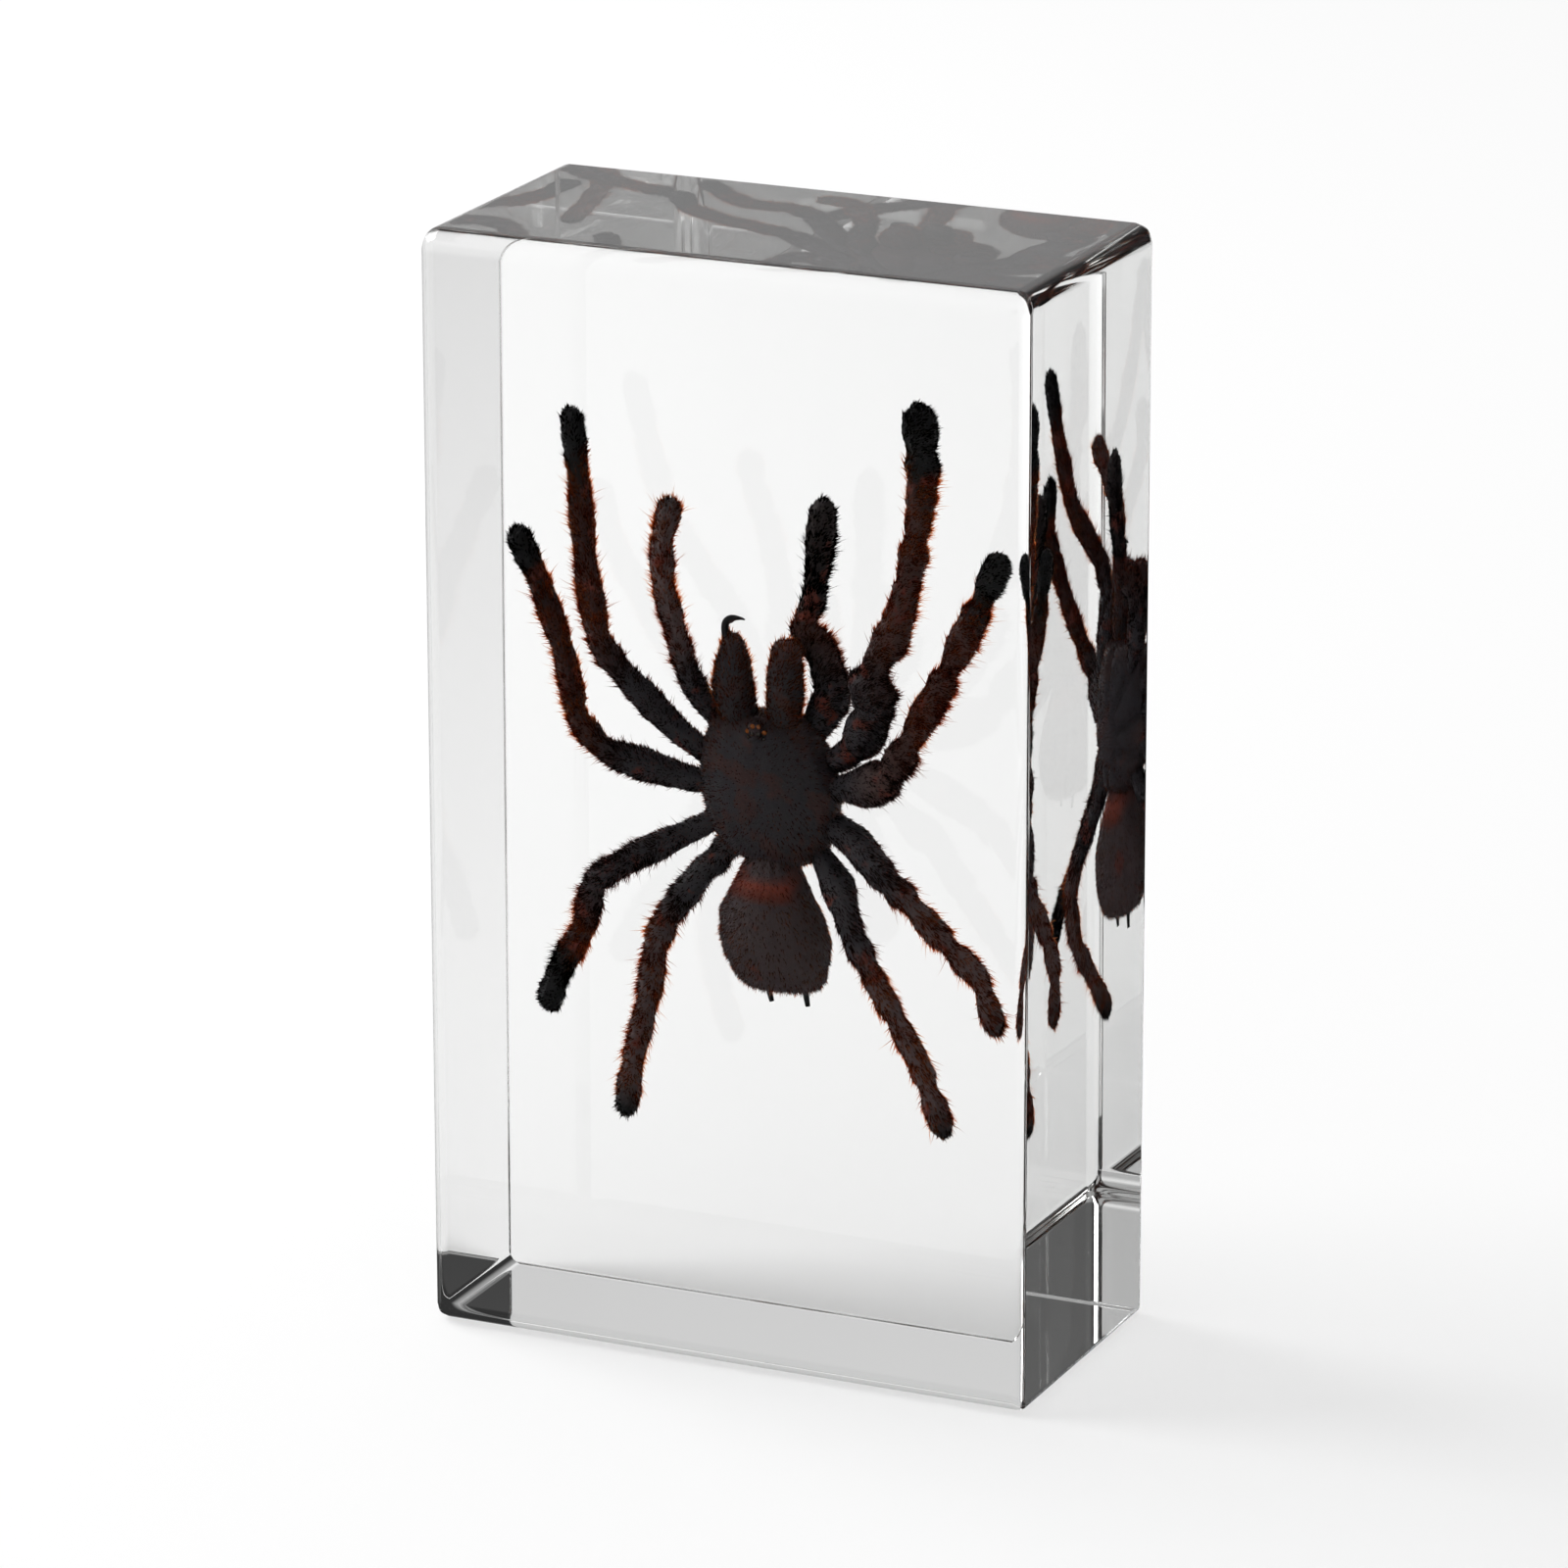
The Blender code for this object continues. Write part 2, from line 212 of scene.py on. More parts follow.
def mix_shaders(tree, factor, first, second):
    """Mix of the shaders of two nodes."""
    inputs = {0: factor, 1: first.outputs[0], 2: second.outputs[0]}
    return add_node(tree, "ShaderNodeMixShader", inputs).outputs[0]


def make_world():
    """Studio light by direction, but plain white to the camera."""
    world = bpy.data.worlds.new("studio")
    world.use_nodes = True
    tree = world.node_tree
    tree.nodes.clear()
    soft = add_node(tree, "ShaderNodeBackground",
                    {"Color": WHITE, "Strength": studio_brightness(tree)})
    plain = add_node(tree, "ShaderNodeBackground", {"Color": WHITE, "Strength": 1.0})
    seen = add_node(tree, "ShaderNodeLightPath").outputs["Is Camera Ray"]
    mixed = mix_shaders(tree, seen, soft, plain)
    add_node(tree, "ShaderNodeOutputWorld", {"Surface": mixed})
    bpy.context.scene.world = world


make_world()
bpy.context.scene.view_settings.view_transform = "Standard"
bpy.context.scene.view_settings.look = "None"
print("glows in the studio:", list(GLOWS))

# %% [markdown]
# ## Key light
#
# One large soft light stands to the left. It is near enough that the table gets darker towards
# the right. The left strip of the block mirrors that darker part, so it stands out as grey.

# %% Key light
KEY_PLACE = Vector((-1.0, -0.05, 0.85))
KEY_SIZE = 1.0
KEY_POWER = 20.0

key_data = bpy.data.lights.new("key_light", "AREA")
key_data.size = KEY_SIZE
key_data.energy = KEY_POWER
key_light = add_object("key_light", key_data)
key_light.location = KEY_PLACE
key_light.rotation_euler = (block_centre - KEY_PLACE).to_track_quat("-Z", "Y").to_euler()
print("key light to block in m:", round((block_centre - KEY_PLACE).length, 2))

# %% [markdown]
# ## Light paths
#
# Light that enters the side or the top of the block bounces inside it several times before it
# leaves. Blender gives up on a mirror bounce after four by default, which would turn those faces
# black, so the limits are raised.

# %% Light paths
cycles = bpy.context.scene.cycles
cycles.max_bounces = 32
cycles.glossy_bounces = 24
cycles.transmission_bounces = 24
cycles.diffuse_bounces = 4
print("bounces inside the block:", cycles.transmission_bounces)

# %% [markdown]
# ## Table
#
# The table is a plain white sheet just under the block. It is kept out of mirror reflections:
# otherwise the polished front would lay a pale veil over the black spider. Where the camera sees
# it directly its matt white is mixed with white light, which leaves only a faint shadow. A
# brighter lamp would do that too, but it would also wash out the block.

# %% Table
TABLE_GAP = 0.2 * MM
TABLE_HALF = 4.0
TABLE_COLOUR = (0.90, 0.90, 0.90)
TABLE_ROUGHNESS = 0.9
TABLE_WHITENED = 0.6


def new_material(name):
    """New material, its tree and its shader."""
    material = bpy.data.materials.new(name)
    material.use_nodes = True
    tree = material.node_tree
    return material, tree, tree.nodes["Principled BSDF"]


def table_material():
    """Matt white, whitened further for the camera."""
    material, tree, shader = new_material("table_white")
    feed(tree, shader, {
        "Base Color": TABLE_COLOUR, "Roughness": TABLE_ROUGHNESS, "Specular IOR Level": 0.0,
    })
    seen = add_node(tree, "ShaderNodeLightPath").outputs["Is Camera Ray"]
    share = float_math(tree, "MULTIPLY", seen, TABLE_WHITENED)
    mixed = mix_shaders(tree, share, shader, add_node(tree, "ShaderNodeEmission"))
    feed(tree, tree.nodes["Material Output"], {"Surface": mixed})
    return material


table_z = low.z - TABLE_GAP
table_mesh = bpy.data.meshes.new("table")
table_mesh.from_pydata([
    (x * TABLE_HALF, y * TABLE_HALF, table_z) for x, y in ((-1, -1), (1, -1), (1, 1), (-1, 1))
], [], [(0, 1, 2, 3)])
table_mesh.materials.append(table_material())
table = add_object("table", table_mesh)
table.visible_glossy = False
print("table at z =", round(table_z / MM, 2), "mm")

# %% [markdown]
# ## Resin finish
#
# Cast resin is clear, but thick: a path through the block loses a little light and comes out
# faintly grey. Plain transmission with the resin's own refractive index bends the light, and a
# volume absorption takes up a little of it. The rounded edges are polished by hand, so they are
# slightly rougher than the flat faces. The mesh stores 'edge' on its faces for that.

# %% Resin finish
RESIN_IOR = 1.55
EDGE_ROUGHNESS = 0.05
RESIN_TINT = (0.898, 0.902, 0.896)
RESIN_ABSORPTION = 15.0


def stored(tree, name):
    """A number that the mesh stores."""
    return add_node(tree, "ShaderNodeAttribute", attribute_name=name).outputs["Fac"]


def resin_material():
    """Clear, faintly grey, with the light loss of a thick casting."""
    material, tree, shader = new_material("clear_resin")
    feed(tree, shader, {
        "Base Color": WHITE,
        "Roughness": float_math(tree, "MULTIPLY", stored(tree, "edge"), EDGE_ROUGHNESS),
        "IOR": RESIN_IOR,
        "Transmission Weight": 1.0,
    })
    absorption = add_node(tree, "ShaderNodeVolumeAbsorption",
                          {"Color": RESIN_TINT, "Density": RESIN_ABSORPTION})
    feed(tree, tree.nodes["Material Output"], {"Volume": absorption.outputs[0]})
    return material


resin_finish = resin_material()
print("resin index:", RESIN_IOR)

# %% [markdown]
# ## Resin block
#
# The block is cast, sawn and polished: flat faces with edges rounded by hand, some more and some
# less. A Bevel modifier can give each edge its own radius through its bevel weight. Shading
# needs care: if the smooth shading of the edges leaks into the flat faces, everything seen
# through them bends. The modifier's hardened normals keep the faces flat.

# %% Resin block
EDGE_RADII = {  # in mm, by the side on which an edge lies in X, Y and Z
    (0, -1, 1): 2.2, (0, -1, -1): 2.2, (-1, -1, 0): 2.2, (1, -1, 0): 1.0,  # front
    (0, 1, 1): 1.0, (0, 1, -1): 0.25, (-1, 1, 0): 0.25, (1, 1, 0): 1.4,    # back
    (-1, 0, 1): 2.0, (-1, 0, -1): 1.2, (1, 0, 1): 2.0, (1, 0, -1): 1.2,    # left and right
}
WIDEST_EDGE = max(EDGE_RADII.values()) * MM
EDGE_STEPS = 10
FLAT_NORMAL = 0.9999


def plain_mesh(holder):
    """Mesh of an object with its modifiers applied. The object itself is removed."""
    evaluated = holder.evaluated_get(bpy.context.evaluated_depsgraph_get())
    mesh = bpy.data.meshes.new_from_object(evaluated)
    bpy.data.objects.remove(holder)
    return mesh


def mesh_from(shape, name):
    """Mesh of a bmesh, whose memory is freed."""
    mesh = bpy.data.meshes.new(name)
    shape.to_mesh(mesh)
    shape.free()
    return mesh


def paint(mesh, material):
    """Give a mesh one material."""
    mesh.materials.clear()
    mesh.materials.append(material)


def edge_radius(middle):
    """Radius of a block edge from where its middle lies."""
    side = tuple((part > MM) - (part < -MM) for part in middle - block_centre)
    return EDGE_RADII[side] * MM


def mark_edges(mesh):
    """Store 1 on the rounded faces, whose polish is softer, and 0 on the flat ones."""
    attribute = mesh.attributes.new("edge", "FLOAT", "FACE")
    for face, value in zip(mesh.polygons, attribute.data):
        flat = max(abs(part) for part in face.normal) > FLAT_NORMAL
        value.value = 0.0 if flat else 1.0


def rounded_block():
    """Box of the block's size with its own radius on each edge."""
    shape = bmesh.new()
    bmesh.ops.create_cube(shape, size=1.0)
    bmesh.ops.scale(shape, verts=shape.verts, vec=high - low)
    bmesh.ops.translate(shape, verts=shape.verts, vec=block_centre)
    weights = shape.edges.layers.float.new("bevel_weight_edge")
    for edge in shape.edges:
        middle = (edge.verts[0].co + edge.verts[1].co) / 2
        edge[weights] = edge_radius(middle) / WIDEST_EDGE
    sharp = mesh_from(shape, "sharp_block")
    sharp.shade_smooth()
    holder = add_object("sharp_block", sharp)
    bevel = holder.modifiers.new("polished_edges", "BEVEL")
    bevel.limit_method = "WEIGHT"
    bevel.width = WIDEST_EDGE
    bevel.segments = EDGE_STEPS
    bevel.harden_normals = True
    mesh = plain_mesh(holder)
    mesh.name = "resin_block"
    mark_edges(mesh)
    paint(mesh, resin_finish)
    return add_object("resin_block", mesh)


resin_block = rounded_block()
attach(resin_block, "root")
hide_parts("block_front", "block_back")
print("resin block faces:", len(resin_block.data.polygons))

# %% [markdown]
# ## Skin of the spider
#
# The solids of the spider reach out to the tips of its short bristles, and the skin under them
# is a copy of each solid: merged, turned to quads and rounded by a subdivision surface. A remesh
# would round them too, but it would wear away the thin ends. Rounding also shrinks a shape, so
# each vertex is then moved back out to the solid along its own normal.

# %% Rounded copy of a solid
SKIN_LEVELS = 3
FULLNESS = 0.9
WELD = 1e-6
QUAD_ANGLE = 0.9
body_low, body_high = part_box("cephalothorax")
body_centre = (body_low + body_high) / 2


def shape_of(node):
    """Merged copy of a CAD node's mesh."""
    shape = bmesh.new()
    shape.from_mesh(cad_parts[node].data)
    bmesh.ops.remove_doubles(shape, verts=shape.verts, dist=WELD)
    return shape


def rounded_copy(name, shape):
    """Subdivision surface of a bmesh as a plain mesh."""
    bmesh.ops.join_triangles(shape, faces=shape.faces, angle_face_threshold=QUAD_ANGLE,
                             angle_shape_threshold=QUAD_ANGLE)
    rough = mesh_from(shape, name + "_rough")
    holder = add_object(name + "_rough", rough)
    smooth = holder.modifiers.new("rounding", "SUBSURF")
    smooth.levels = SKIN_LEVELS
    smooth.render_levels = SKIN_LEVELS
    mesh = plain_mesh(holder)
    bpy.data.meshes.remove(rough)
    mesh.name = name
    mesh.shade_smooth()
    return mesh


def move_vertices(mesh, places):
    """Put every vertex at its new place, after all places are known."""
    for vertex, place in zip(mesh.vertices, places):
        vertex.co = place
    mesh.update()


def fill_out(mesh, solid):
    """Move a rounded mesh back out to the solid it came from."""
    moved = []
    for vertex in mesh.vertices:
        _, _, _, distance = solid.find_nearest(vertex.co)
        moved.append(vertex.co + vertex.normal * distance * FULLNESS)
    move_vertices(mesh, moved)


print("front body centre in mm:", [round(value / MM, 1) for value in body_centre])

# %% [markdown]
# ## Joints of the limbs
#
# A dried leg is no even tube. Its skin stands up in a collar just before a joint, is pinched in
# just past it, and then swells into a calf. Every ring could be modelled on its own, but they
# all follow one rule: each joint is a point, and the way to the next one says where its collar,
# its pinch and its calf lie. One number per limb tells how sharp they are.

# %% Joints of the limbs
JOINTS = {  # in mm, from the body outwards, and last a place near the tip
    "leg_left_1": ((-12.9, -5, 66.8), (-15.5, -5, 69.9), (-18.2, 0, 76.3), (-19.6, 2.6, 84),
                   (-20.9, 4, 91.3)),
    "leg_left_2": ((-15.2, -3.5, 58.5), (-18.3, -3, 61.3), (-20.4, 0, 67), (-23.7, 2, 73.7),
                   (-25.8, -0.1, 79.2)),
    "leg_left_3": ((-13.5, -4.5, 47.6), (-16.3, -4.5, 45.4), (-18, -2, 40.2),
                   (-21.6, 0.5, 34.7), (-23.4, 2, 30.2)),
    "leg_left_4": ((-10.6, 4, 41.6), (-12.3, 4.4, 38), (-12.6, 2.9, 32.7), (-13, -1.6, 27.7),
                   (-12.7, -6.1, 22.3)),
    "leg_right_1": ((13.4, -7, 69.6), (17.5, -5.5, 82.7), (18.3, -5.5, 91.5),
                    (18, -5.5, 97.1)),
    "leg_right_2": ((14.6, -5, 59.6), (17.1, -7, 63.3), (21.1, -7, 70.9), (24.4, -7, 78),
                    (27.1, -7.5, 83.8)),
    "leg_right_3": ((13.9, -3, 49.5), (16.3, -3, 47.6), (19.8, -2, 43.8), (23.7, -2.5, 40.6),
                    (26.1, -4.5, 35.5)),
    "leg_right_4": ((12, -4.4, 41.7), (15.2, -5.6, 36.9), (19.2, -6.6, 30.7),
                    (21.5, -7.1, 25)),
    "pedipalp_left": ((-6.8, -3, 67.6), (-7.4, -4, 70.7), (-8.7, -4.6, 75.7), (-9.6, -2.1, 80),
                      (-9.2, 0.9, 83.8)),
    "pedipalp_right": ((6.4, 1.8, 69.4), (4.4, 3.4, 72.1), (4.5, 5.5, 76.4), (5.1, 6.6, 84.7)),
}
JOINT_SHARPNESS = {"leg_right_1": 1.0, "leg_right_2": 0.9, "leg_right_3": 0.45,
                   "leg_right_4": 0.7, "leg_left_3": 0.0}
SMOOTH_JOINTS = 0.12
COLLAR = (-0.6, 1.2, 0.26)  # distance past the joint, width and height in mm
PINCH = (1.0, 1.4, -0.36)
RING_SPAN = 3.4
CALF = 0.6
CALF_REACH = 2.8
CALF_HEIGHT = 0.22


def bump(distance):
    """Smooth hill of height 1 that ends at distance 1."""
    return (1 - distance ** 2) ** 2 if abs(distance) < 1 else 0.0


def joints_of(node):
    """Collar and pinch at each joint of a limb, and the calf of each part after it."""
    rings = []
    calves = []
    sharp = JOINT_SHARPNESS.get(node, SMOOTH_JOINTS)
    joints = [Vector(joint) for joint in JOINTS.get(node, ())]
    for joint, following in zip(joints, joints[1:]):
        onwards = (following - joint).normalized()
        for distance, width, height in (COLLAR, PINCH):
            middle = joint + onwards * distance
            rings.append((middle * MM, onwards, width * MM, height * MM * sharp))
        calves.append((joint.lerp(following, CALF), CALF_REACH, CALF_HEIGHT * sharp))
    return rings, calves


def ring_rise(place, rings):
    """Height of the collars and pinches at a place on a limb."""
    rise = 0.0
    for middle, onwards, width, height in rings:
        offset = place - middle
        along = offset.dot(onwards)
        across = (offset - onwards * along).length / (RING_SPAN * MM)
        if across < 1:
            rise += bump(along / width) * (1 - across ** 2) * height
    return rise


print("joints:", {node: len(places) - 1 for node, places in JOINTS.items()})

# %% [markdown]
# ## Fuller and slimmer places
#
# Here and there a limb is folded, fuller or slimmer than its solid, and one feeler leans over.
# Sculpting with a brush would do, but it can't be repeated from a script. So each such place is
# a point with a reach and a height, which lifts the skin round it in a smooth hill. A negative
# height pinches the skin in.

# %% Fuller and slimmer places
SWELLINGS = {  # place, reach and height in mm
    "abdomen": (((1.9, 0.9, 37.6), 5.5, 0.35),),
    "leg_left_2": (((-11.0, -1.5, 57.3), 5.0, 0.25),),
    "leg_right_1": (
        ((13.6, -6.5, 68.4), 4.8, 0.80), ((11.6, -2.8, 63.8), 4.5, 0.40),
        ((15.8, -6.5, 70.6), 1.8, -0.45), ((16.8, -6.2, 73.6), 2.6, 0.35),
        ((11.1, -6.0, 70.0), 2.6, 0.50), ((12.2, -1.5, 62.6), 3.0, 0.40),
    ),
    "leg_right_2": (((12.0, -2.5, 58.3), 5.0, 0.75), ((14.2, -3.0, 59.6), 3.0, 0.40)),
    "leg_right_3": (((9.8, -0.4, 52.6), 4.5, 0.55), ((13.0, -2.2, 50.2), 4.0, 0.30)),
    "leg_right_4": (((11.5, -4.2, 42.6), 2.4, 0.25), ((9.0, -1.5, 47.5), 4.5, 0.45)),
    "pedipalp_right": (((7.0, 1.6, 66.0), 6.0, 0.75), ((5.3, 2.6, 70.8), 4.0, 0.45),
                       ((7.3, 2.5, 71.8), 2.6, 0.45)),
}
NUDGES = {"pedipalp_right": (((4.4, 3.4, 71.8), 3.4, (-1.0, 0.0, 0.0)),)}


def swell(mesh, node):
    """Shape a skin at its joints and at the places listed for it."""
    rings, calves = joints_of(node)
    hills = [(Vector(place) * MM, reach * MM, height * MM)
             for place, reach, height in (*SWELLINGS.get(node, ()), *calves)]
    nudges = [(Vector(place) * MM, reach * MM, Vector(shift) * MM)
              for place, reach, shift in NUDGES.get(node, ())]
    moved = []
    for vertex in mesh.vertices:
        rise = ring_rise(vertex.co, rings)
        for place, reach, height in hills:
            rise += bump((vertex.co - place).length / reach) * height
        spot = vertex.co + vertex.normal * rise
        for place, reach, shift in nudges:
            spot += shift * bump((vertex.co - place).length / reach)
        moved.append(spot)
    move_vertices(mesh, moved)


print("places shaped:", sum(len(places) for places in SWELLINGS.values()))

# %% [markdown]
# ## Lumpy skin under the bristles
#
# Dried skin is uneven, and the bristles need room between it and the solid. So the skin is drawn
# in by the length of the short bristles, more or less by a smooth noise. Thin things such as a
# fang are bare, so rays shot through the solid measure how thick it is at each vertex. Two
# numbers are stored for the bristles and the finishes: 'fur', where bristles grow, and 'share',
# how far out a vertex lies between the middle of the front body and the tip of its limb.

# %% Lumpy skin
THIN_SHARE = 0.08
BARE_THICKNESS = 1.2 * MM
THICK = 10 * MM
RAY_START = 0.1 * MM
SEED_SHIFT = (1.0, 1.7, 0.3)
FINE_LUMP_HEIGHT = 0.5
FINE_LUMPS_ACROSS = 3


def thickness_of(mesh, solid):
    """Distance through the solid at each vertex of its skin."""
    depths = []
    for vertex in mesh.vertices:
        start = vertex.co - vertex.normal * RAY_START
        _, _, _, depth = solid.ray_cast(start, -vertex.normal)
        depths.append(depth if depth is not None else THICK)
    return depths


def lumps_at(place, size, seed):
    """Smooth random number from -1 to 1 at a place."""
    return noise.noise(place / size + Vector([seed * part for part in SEED_SHIFT]))


def draw_in(mesh, depths, reach, lump_height, lump_size, seed, last_share):
    """Move the skin inwards by the bristles' reach, and make it uneven."""
    farthest = max((vertex.co - body_centre).length for vertex in mesh.vertices)
    moved = []
    numbers = {"fur": [], "share": []}
    for vertex, depth in zip(mesh.vertices, depths):
        lump = lumps_at(vertex.co, lump_size, seed)
        lump += FINE_LUMP_HEIGHT * lumps_at(vertex.co, lump_size / FINE_LUMPS_ACROSS, seed)
        inwards = min(reach - lump * lump_height, depth * THIN_SHARE)
        moved.append(vertex.co - vertex.normal * inwards)
        reached = (vertex.co - body_centre).length / farthest
        numbers["fur"].append(1.0 if depth > BARE_THICKNESS else 0.0)
        numbers["share"].append(reached * (1 + (last_share - 1) * reached ** 2))
    move_vertices(mesh, moved)
    for name, values in numbers.items():
        mesh.attributes.new(name, "FLOAT", "POINT").data.foreach_set("value", values)


def make_skin(node, reach, lump_height, lump_size, seed, additions=(), last_share=1.0):
    """Skin of one piece of the spider, with any further forms that share it."""
    shape = shape_of(node)
    solid = BVHTree.FromBMesh(shape)
    mesh = rounded_copy(node + "_skin", shape)
    fill_out(mesh, solid)
    depths = thickness_of(mesh, solid)
    swell(mesh, node)
    both = bmesh.new()
    for part in (mesh, *additions):
        both.from_mesh(part)
    both.to_mesh(mesh)
    both.free()
    mesh.shade_smooth()
    depths += [THICK] * (len(mesh.vertices) - len(depths))
    draw_in(mesh, depths, reach, lump_height, lump_size, seed, last_share)
    print(node, "skin:", len(mesh.vertices), "vertices")
    return mesh


# %% [markdown]
# ## Where the pieces meet
#
# The solids keep a small gap to each other. On the real spider the limbs, the jaws and the rear
# body come out from under the front body without a gap. A boolean union would join them for
# good, so instead the near end of each is stretched towards the middle of the front body.

# %% Close the gaps at the body
ROOT_REACH = 2.6 * MM
ROOT_STRETCH = 1.5

body_shape = shape_of("cephalothorax")
body_tree = BVHTree.FromBMesh(body_shape)
print("front body's solid has", len(body_shape.faces), "faces")
body_shape.free()


def reach_into_body(mesh, reach=ROOT_REACH, sink=0.0):
    """Stretch the near end of a piece into the front body, and sink it below its surface."""
    for vertex in mesh.vertices:
        _, _, _, distance = body_tree.find_nearest(vertex.co, reach)
        if distance is not None:
            inwards = (body_centre - vertex.co).normalized()
            vertex.co += inwards * (reach - distance) * ROOT_STRETCH
            vertex.co.y += sink * (1 - distance / reach)


# %% [markdown]
# ## Tapered forms
#
# Hips, fangs and spinnerets are all round and tapered along a bent path. A curve with a bevel and
# a radius at each of its points gives such a form with very few numbers. It is turned into a
# mesh, its loose end caps are merged, and its faces are turned outwards.

# %% Tapered form along a path
TUBE_ROUNDNESS = 4
TUBE_STEPS = 8
CAP_WELD = 0.002 * MM


def tapered(name, path, radii):
    """Round closed form along a path, both in mm."""
    curve = bpy.data.curves.new(name, "CURVE")
    curve.dimensions = "3D"
    curve.bevel_depth = MM
    curve.bevel_resolution = TUBE_ROUNDNESS
    curve.use_fill_caps = True
    spline = curve.splines.new("NURBS")
    spline.points.add(len(path) - 1)
    for point, place, radius in zip(spline.points, path, radii):
        point.co = (*(Vector(place) * MM), 1.0)
        point.radius = radius
    spline.order_u = 3
    spline.resolution_u = TUBE_STEPS
    spline.use_endpoint_u = True
    mesh = plain_mesh(add_object(name, curve))
    shape = bmesh.new()
    shape.from_mesh(mesh)
    bmesh.ops.remove_doubles(shape, verts=shape.verts, dist=CAP_WELD)
    bmesh.ops.recalc_face_normals(shape, faces=shape.faces)
    shape.to_mesh(mesh)
    shape.free()
    mesh.shade_smooth()
    return mesh


# %% [markdown]
# ## Hips
#
# Under the front body the limbs end in stout hips, which crowd round a small breastplate. Each
# is a tapered form from near the breastplate to the near end of its limb. It is joined to the
# limb's skin before the skin is made lumpy, so bristles grow over both alike.

# %% Hips
HIP_ENDS = {
    "leg_left_1": (-6.6, 0.8, 59.1), "leg_left_2": (-7.4, 0.8, 55.9),
    "leg_left_3": (-6.8, 0.7, 51.2), "leg_left_4": (-5.2, 2.3, 47.8),
    "leg_right_1": (9.6, -0.2, 60.9), "leg_right_2": (9.0, 0.5, 57.0),
    "leg_right_3": (8.7, 0.7, 53.2), "leg_right_4": (6.4, 2.0, 49.9),
    "pedipalp_left": (-5.3, 2.3, 62.0), "pedipalp_right": (5.9, 2.2, 62.7),
}
BREASTPLATE = Vector((1.1, 3.6, 56.0))
HIP_START = 0.25
HIP_STEPS = (0.0, 0.35, 0.65, 0.9, 1.0)
HIP_RADII = (0.9, 1.7, 2.05, 1.75, 1.2)
PALP_HIP_WIDTH = 0.85


def make_hip(node):
    """Stout hip between the breastplate and the near end of a limb."""
    end = Vector(HIP_ENDS[node])
    start = BREASTPLATE.lerp(end, HIP_START)
    width = PALP_HIP_WIDTH if node.startswith("pedipalp") else 1.0
    return tapered(node + "_hip", [start.lerp(end, step) for step in HIP_STEPS],
                   [radius * width for radius in HIP_RADII])


print("hips:", len(HIP_ENDS))

# %% [markdown]
# ## Bristles
#
# Thousands of bristles cover the spider. Particles or hair curves would do in a picture, but the
# object has to be plain mesh, so Geometry Nodes scatter thin three-sided spikes over the skin.
# Each spike is a cone of unit length, bent along its way. It stores how far along it each vertex
# lies as 'strand', so that a finish can differ from root to tip.

# %% One bristle
def position_of(tree):
    """Place of each vertex or point."""
    return add_node(tree, "GeometryNodeInputPosition").outputs[0]


def make_spike(tree, inputs):
    """One bent spike of unit length that knows its own length as 'strand'."""
    cone = add_node(tree, "GeometryNodeMeshCone", {
        "Vertices": 3, "Side Segments": inputs["Steps"],
        "Radius Top": 0.0, "Radius Bottom": 1.0, "Depth": 1.0,
    }, fill_type="NGON")
    along = add_node(tree, "ShaderNodeSeparateXYZ", {0: position_of(tree)}).outputs["Z"]
    store = add_node(tree, "GeometryNodeStoreNamedAttribute", {
        "Name": "strand", "Geometry": cone.outputs["Mesh"], "Value": along,
    }, data_type="FLOAT", domain="POINT")
    square = float_math(tree, "MULTIPLY", along, along)
    bent = float_math(tree, "MULTIPLY", square, inputs["Bend"])
    offset = add_node(tree, "ShaderNodeCombineXYZ", {"X": bent})
    move = add_node(tree, "GeometryNodeSetPosition", {
        "Geometry": store.outputs["Geometry"], "Offset": offset.outputs[0],
    })
    return move.outputs["Geometry"]


# %% [markdown]
# ## How thick and how long
#
# A spider's coat has thick tufts and thin spots, it is shorter near the body and at the tips of
# the limbs, and a few bristles stand far out. Painted masks could hold all that. Here a noise
# makes the tufts, the stored 'share' sets the length along a limb, and a random number raised to
# a power makes long bristles rare.

# %% Thickness and length of the coat
TUFT_EDGES = (0.42, 0.60)
LEAVING_BODY = (0.28, 0.50)
NEARING_TIP = (0.84, 0.92)
RARITY = 3.0
TUFT_LENGTH_POWER = 0.5


def stored_number(tree, name):
    """A number that the skin stores, for the nodes that make its bristles."""
    node = add_node(tree, "GeometryNodeInputNamedAttribute", {"Name": name},
                    data_type="FLOAT")
    return node.outputs[0]


def tuft_noise(tree, inputs):
    """Noise that changes from tuft to tuft: its grey value and its colour."""
    return add_node(tree, "ShaderNodeTexNoise", {
        "Vector": position_of(tree), "Scale": inputs["Tuft Scale"],
    }).outputs


def patch_factor(tree, inputs):
    """1 where the coat is even, more in thick tufts and less in thin spots."""
    spread = between(tree, tuft_noise(tree, inputs)["Fac"], *TUFT_EDGES, -1.0, 1.0)
    return float_math(tree, "MULTIPLY_ADD", spread, inputs["Patchiness"], 1.0)


def share_factor(tree, inputs):
    """Length of the bristles close to the body and at the tip of a limb, against elsewhere."""
    share = stored_number(tree, "share")
    near = between(tree, share, *LEAVING_BODY, inputs["Length At Body"], 1.0)
    far = between(tree, share, *NEARING_TIP, 1.0, inputs["Length At Tip"])
    return float_math(tree, "MULTIPLY", near, far)


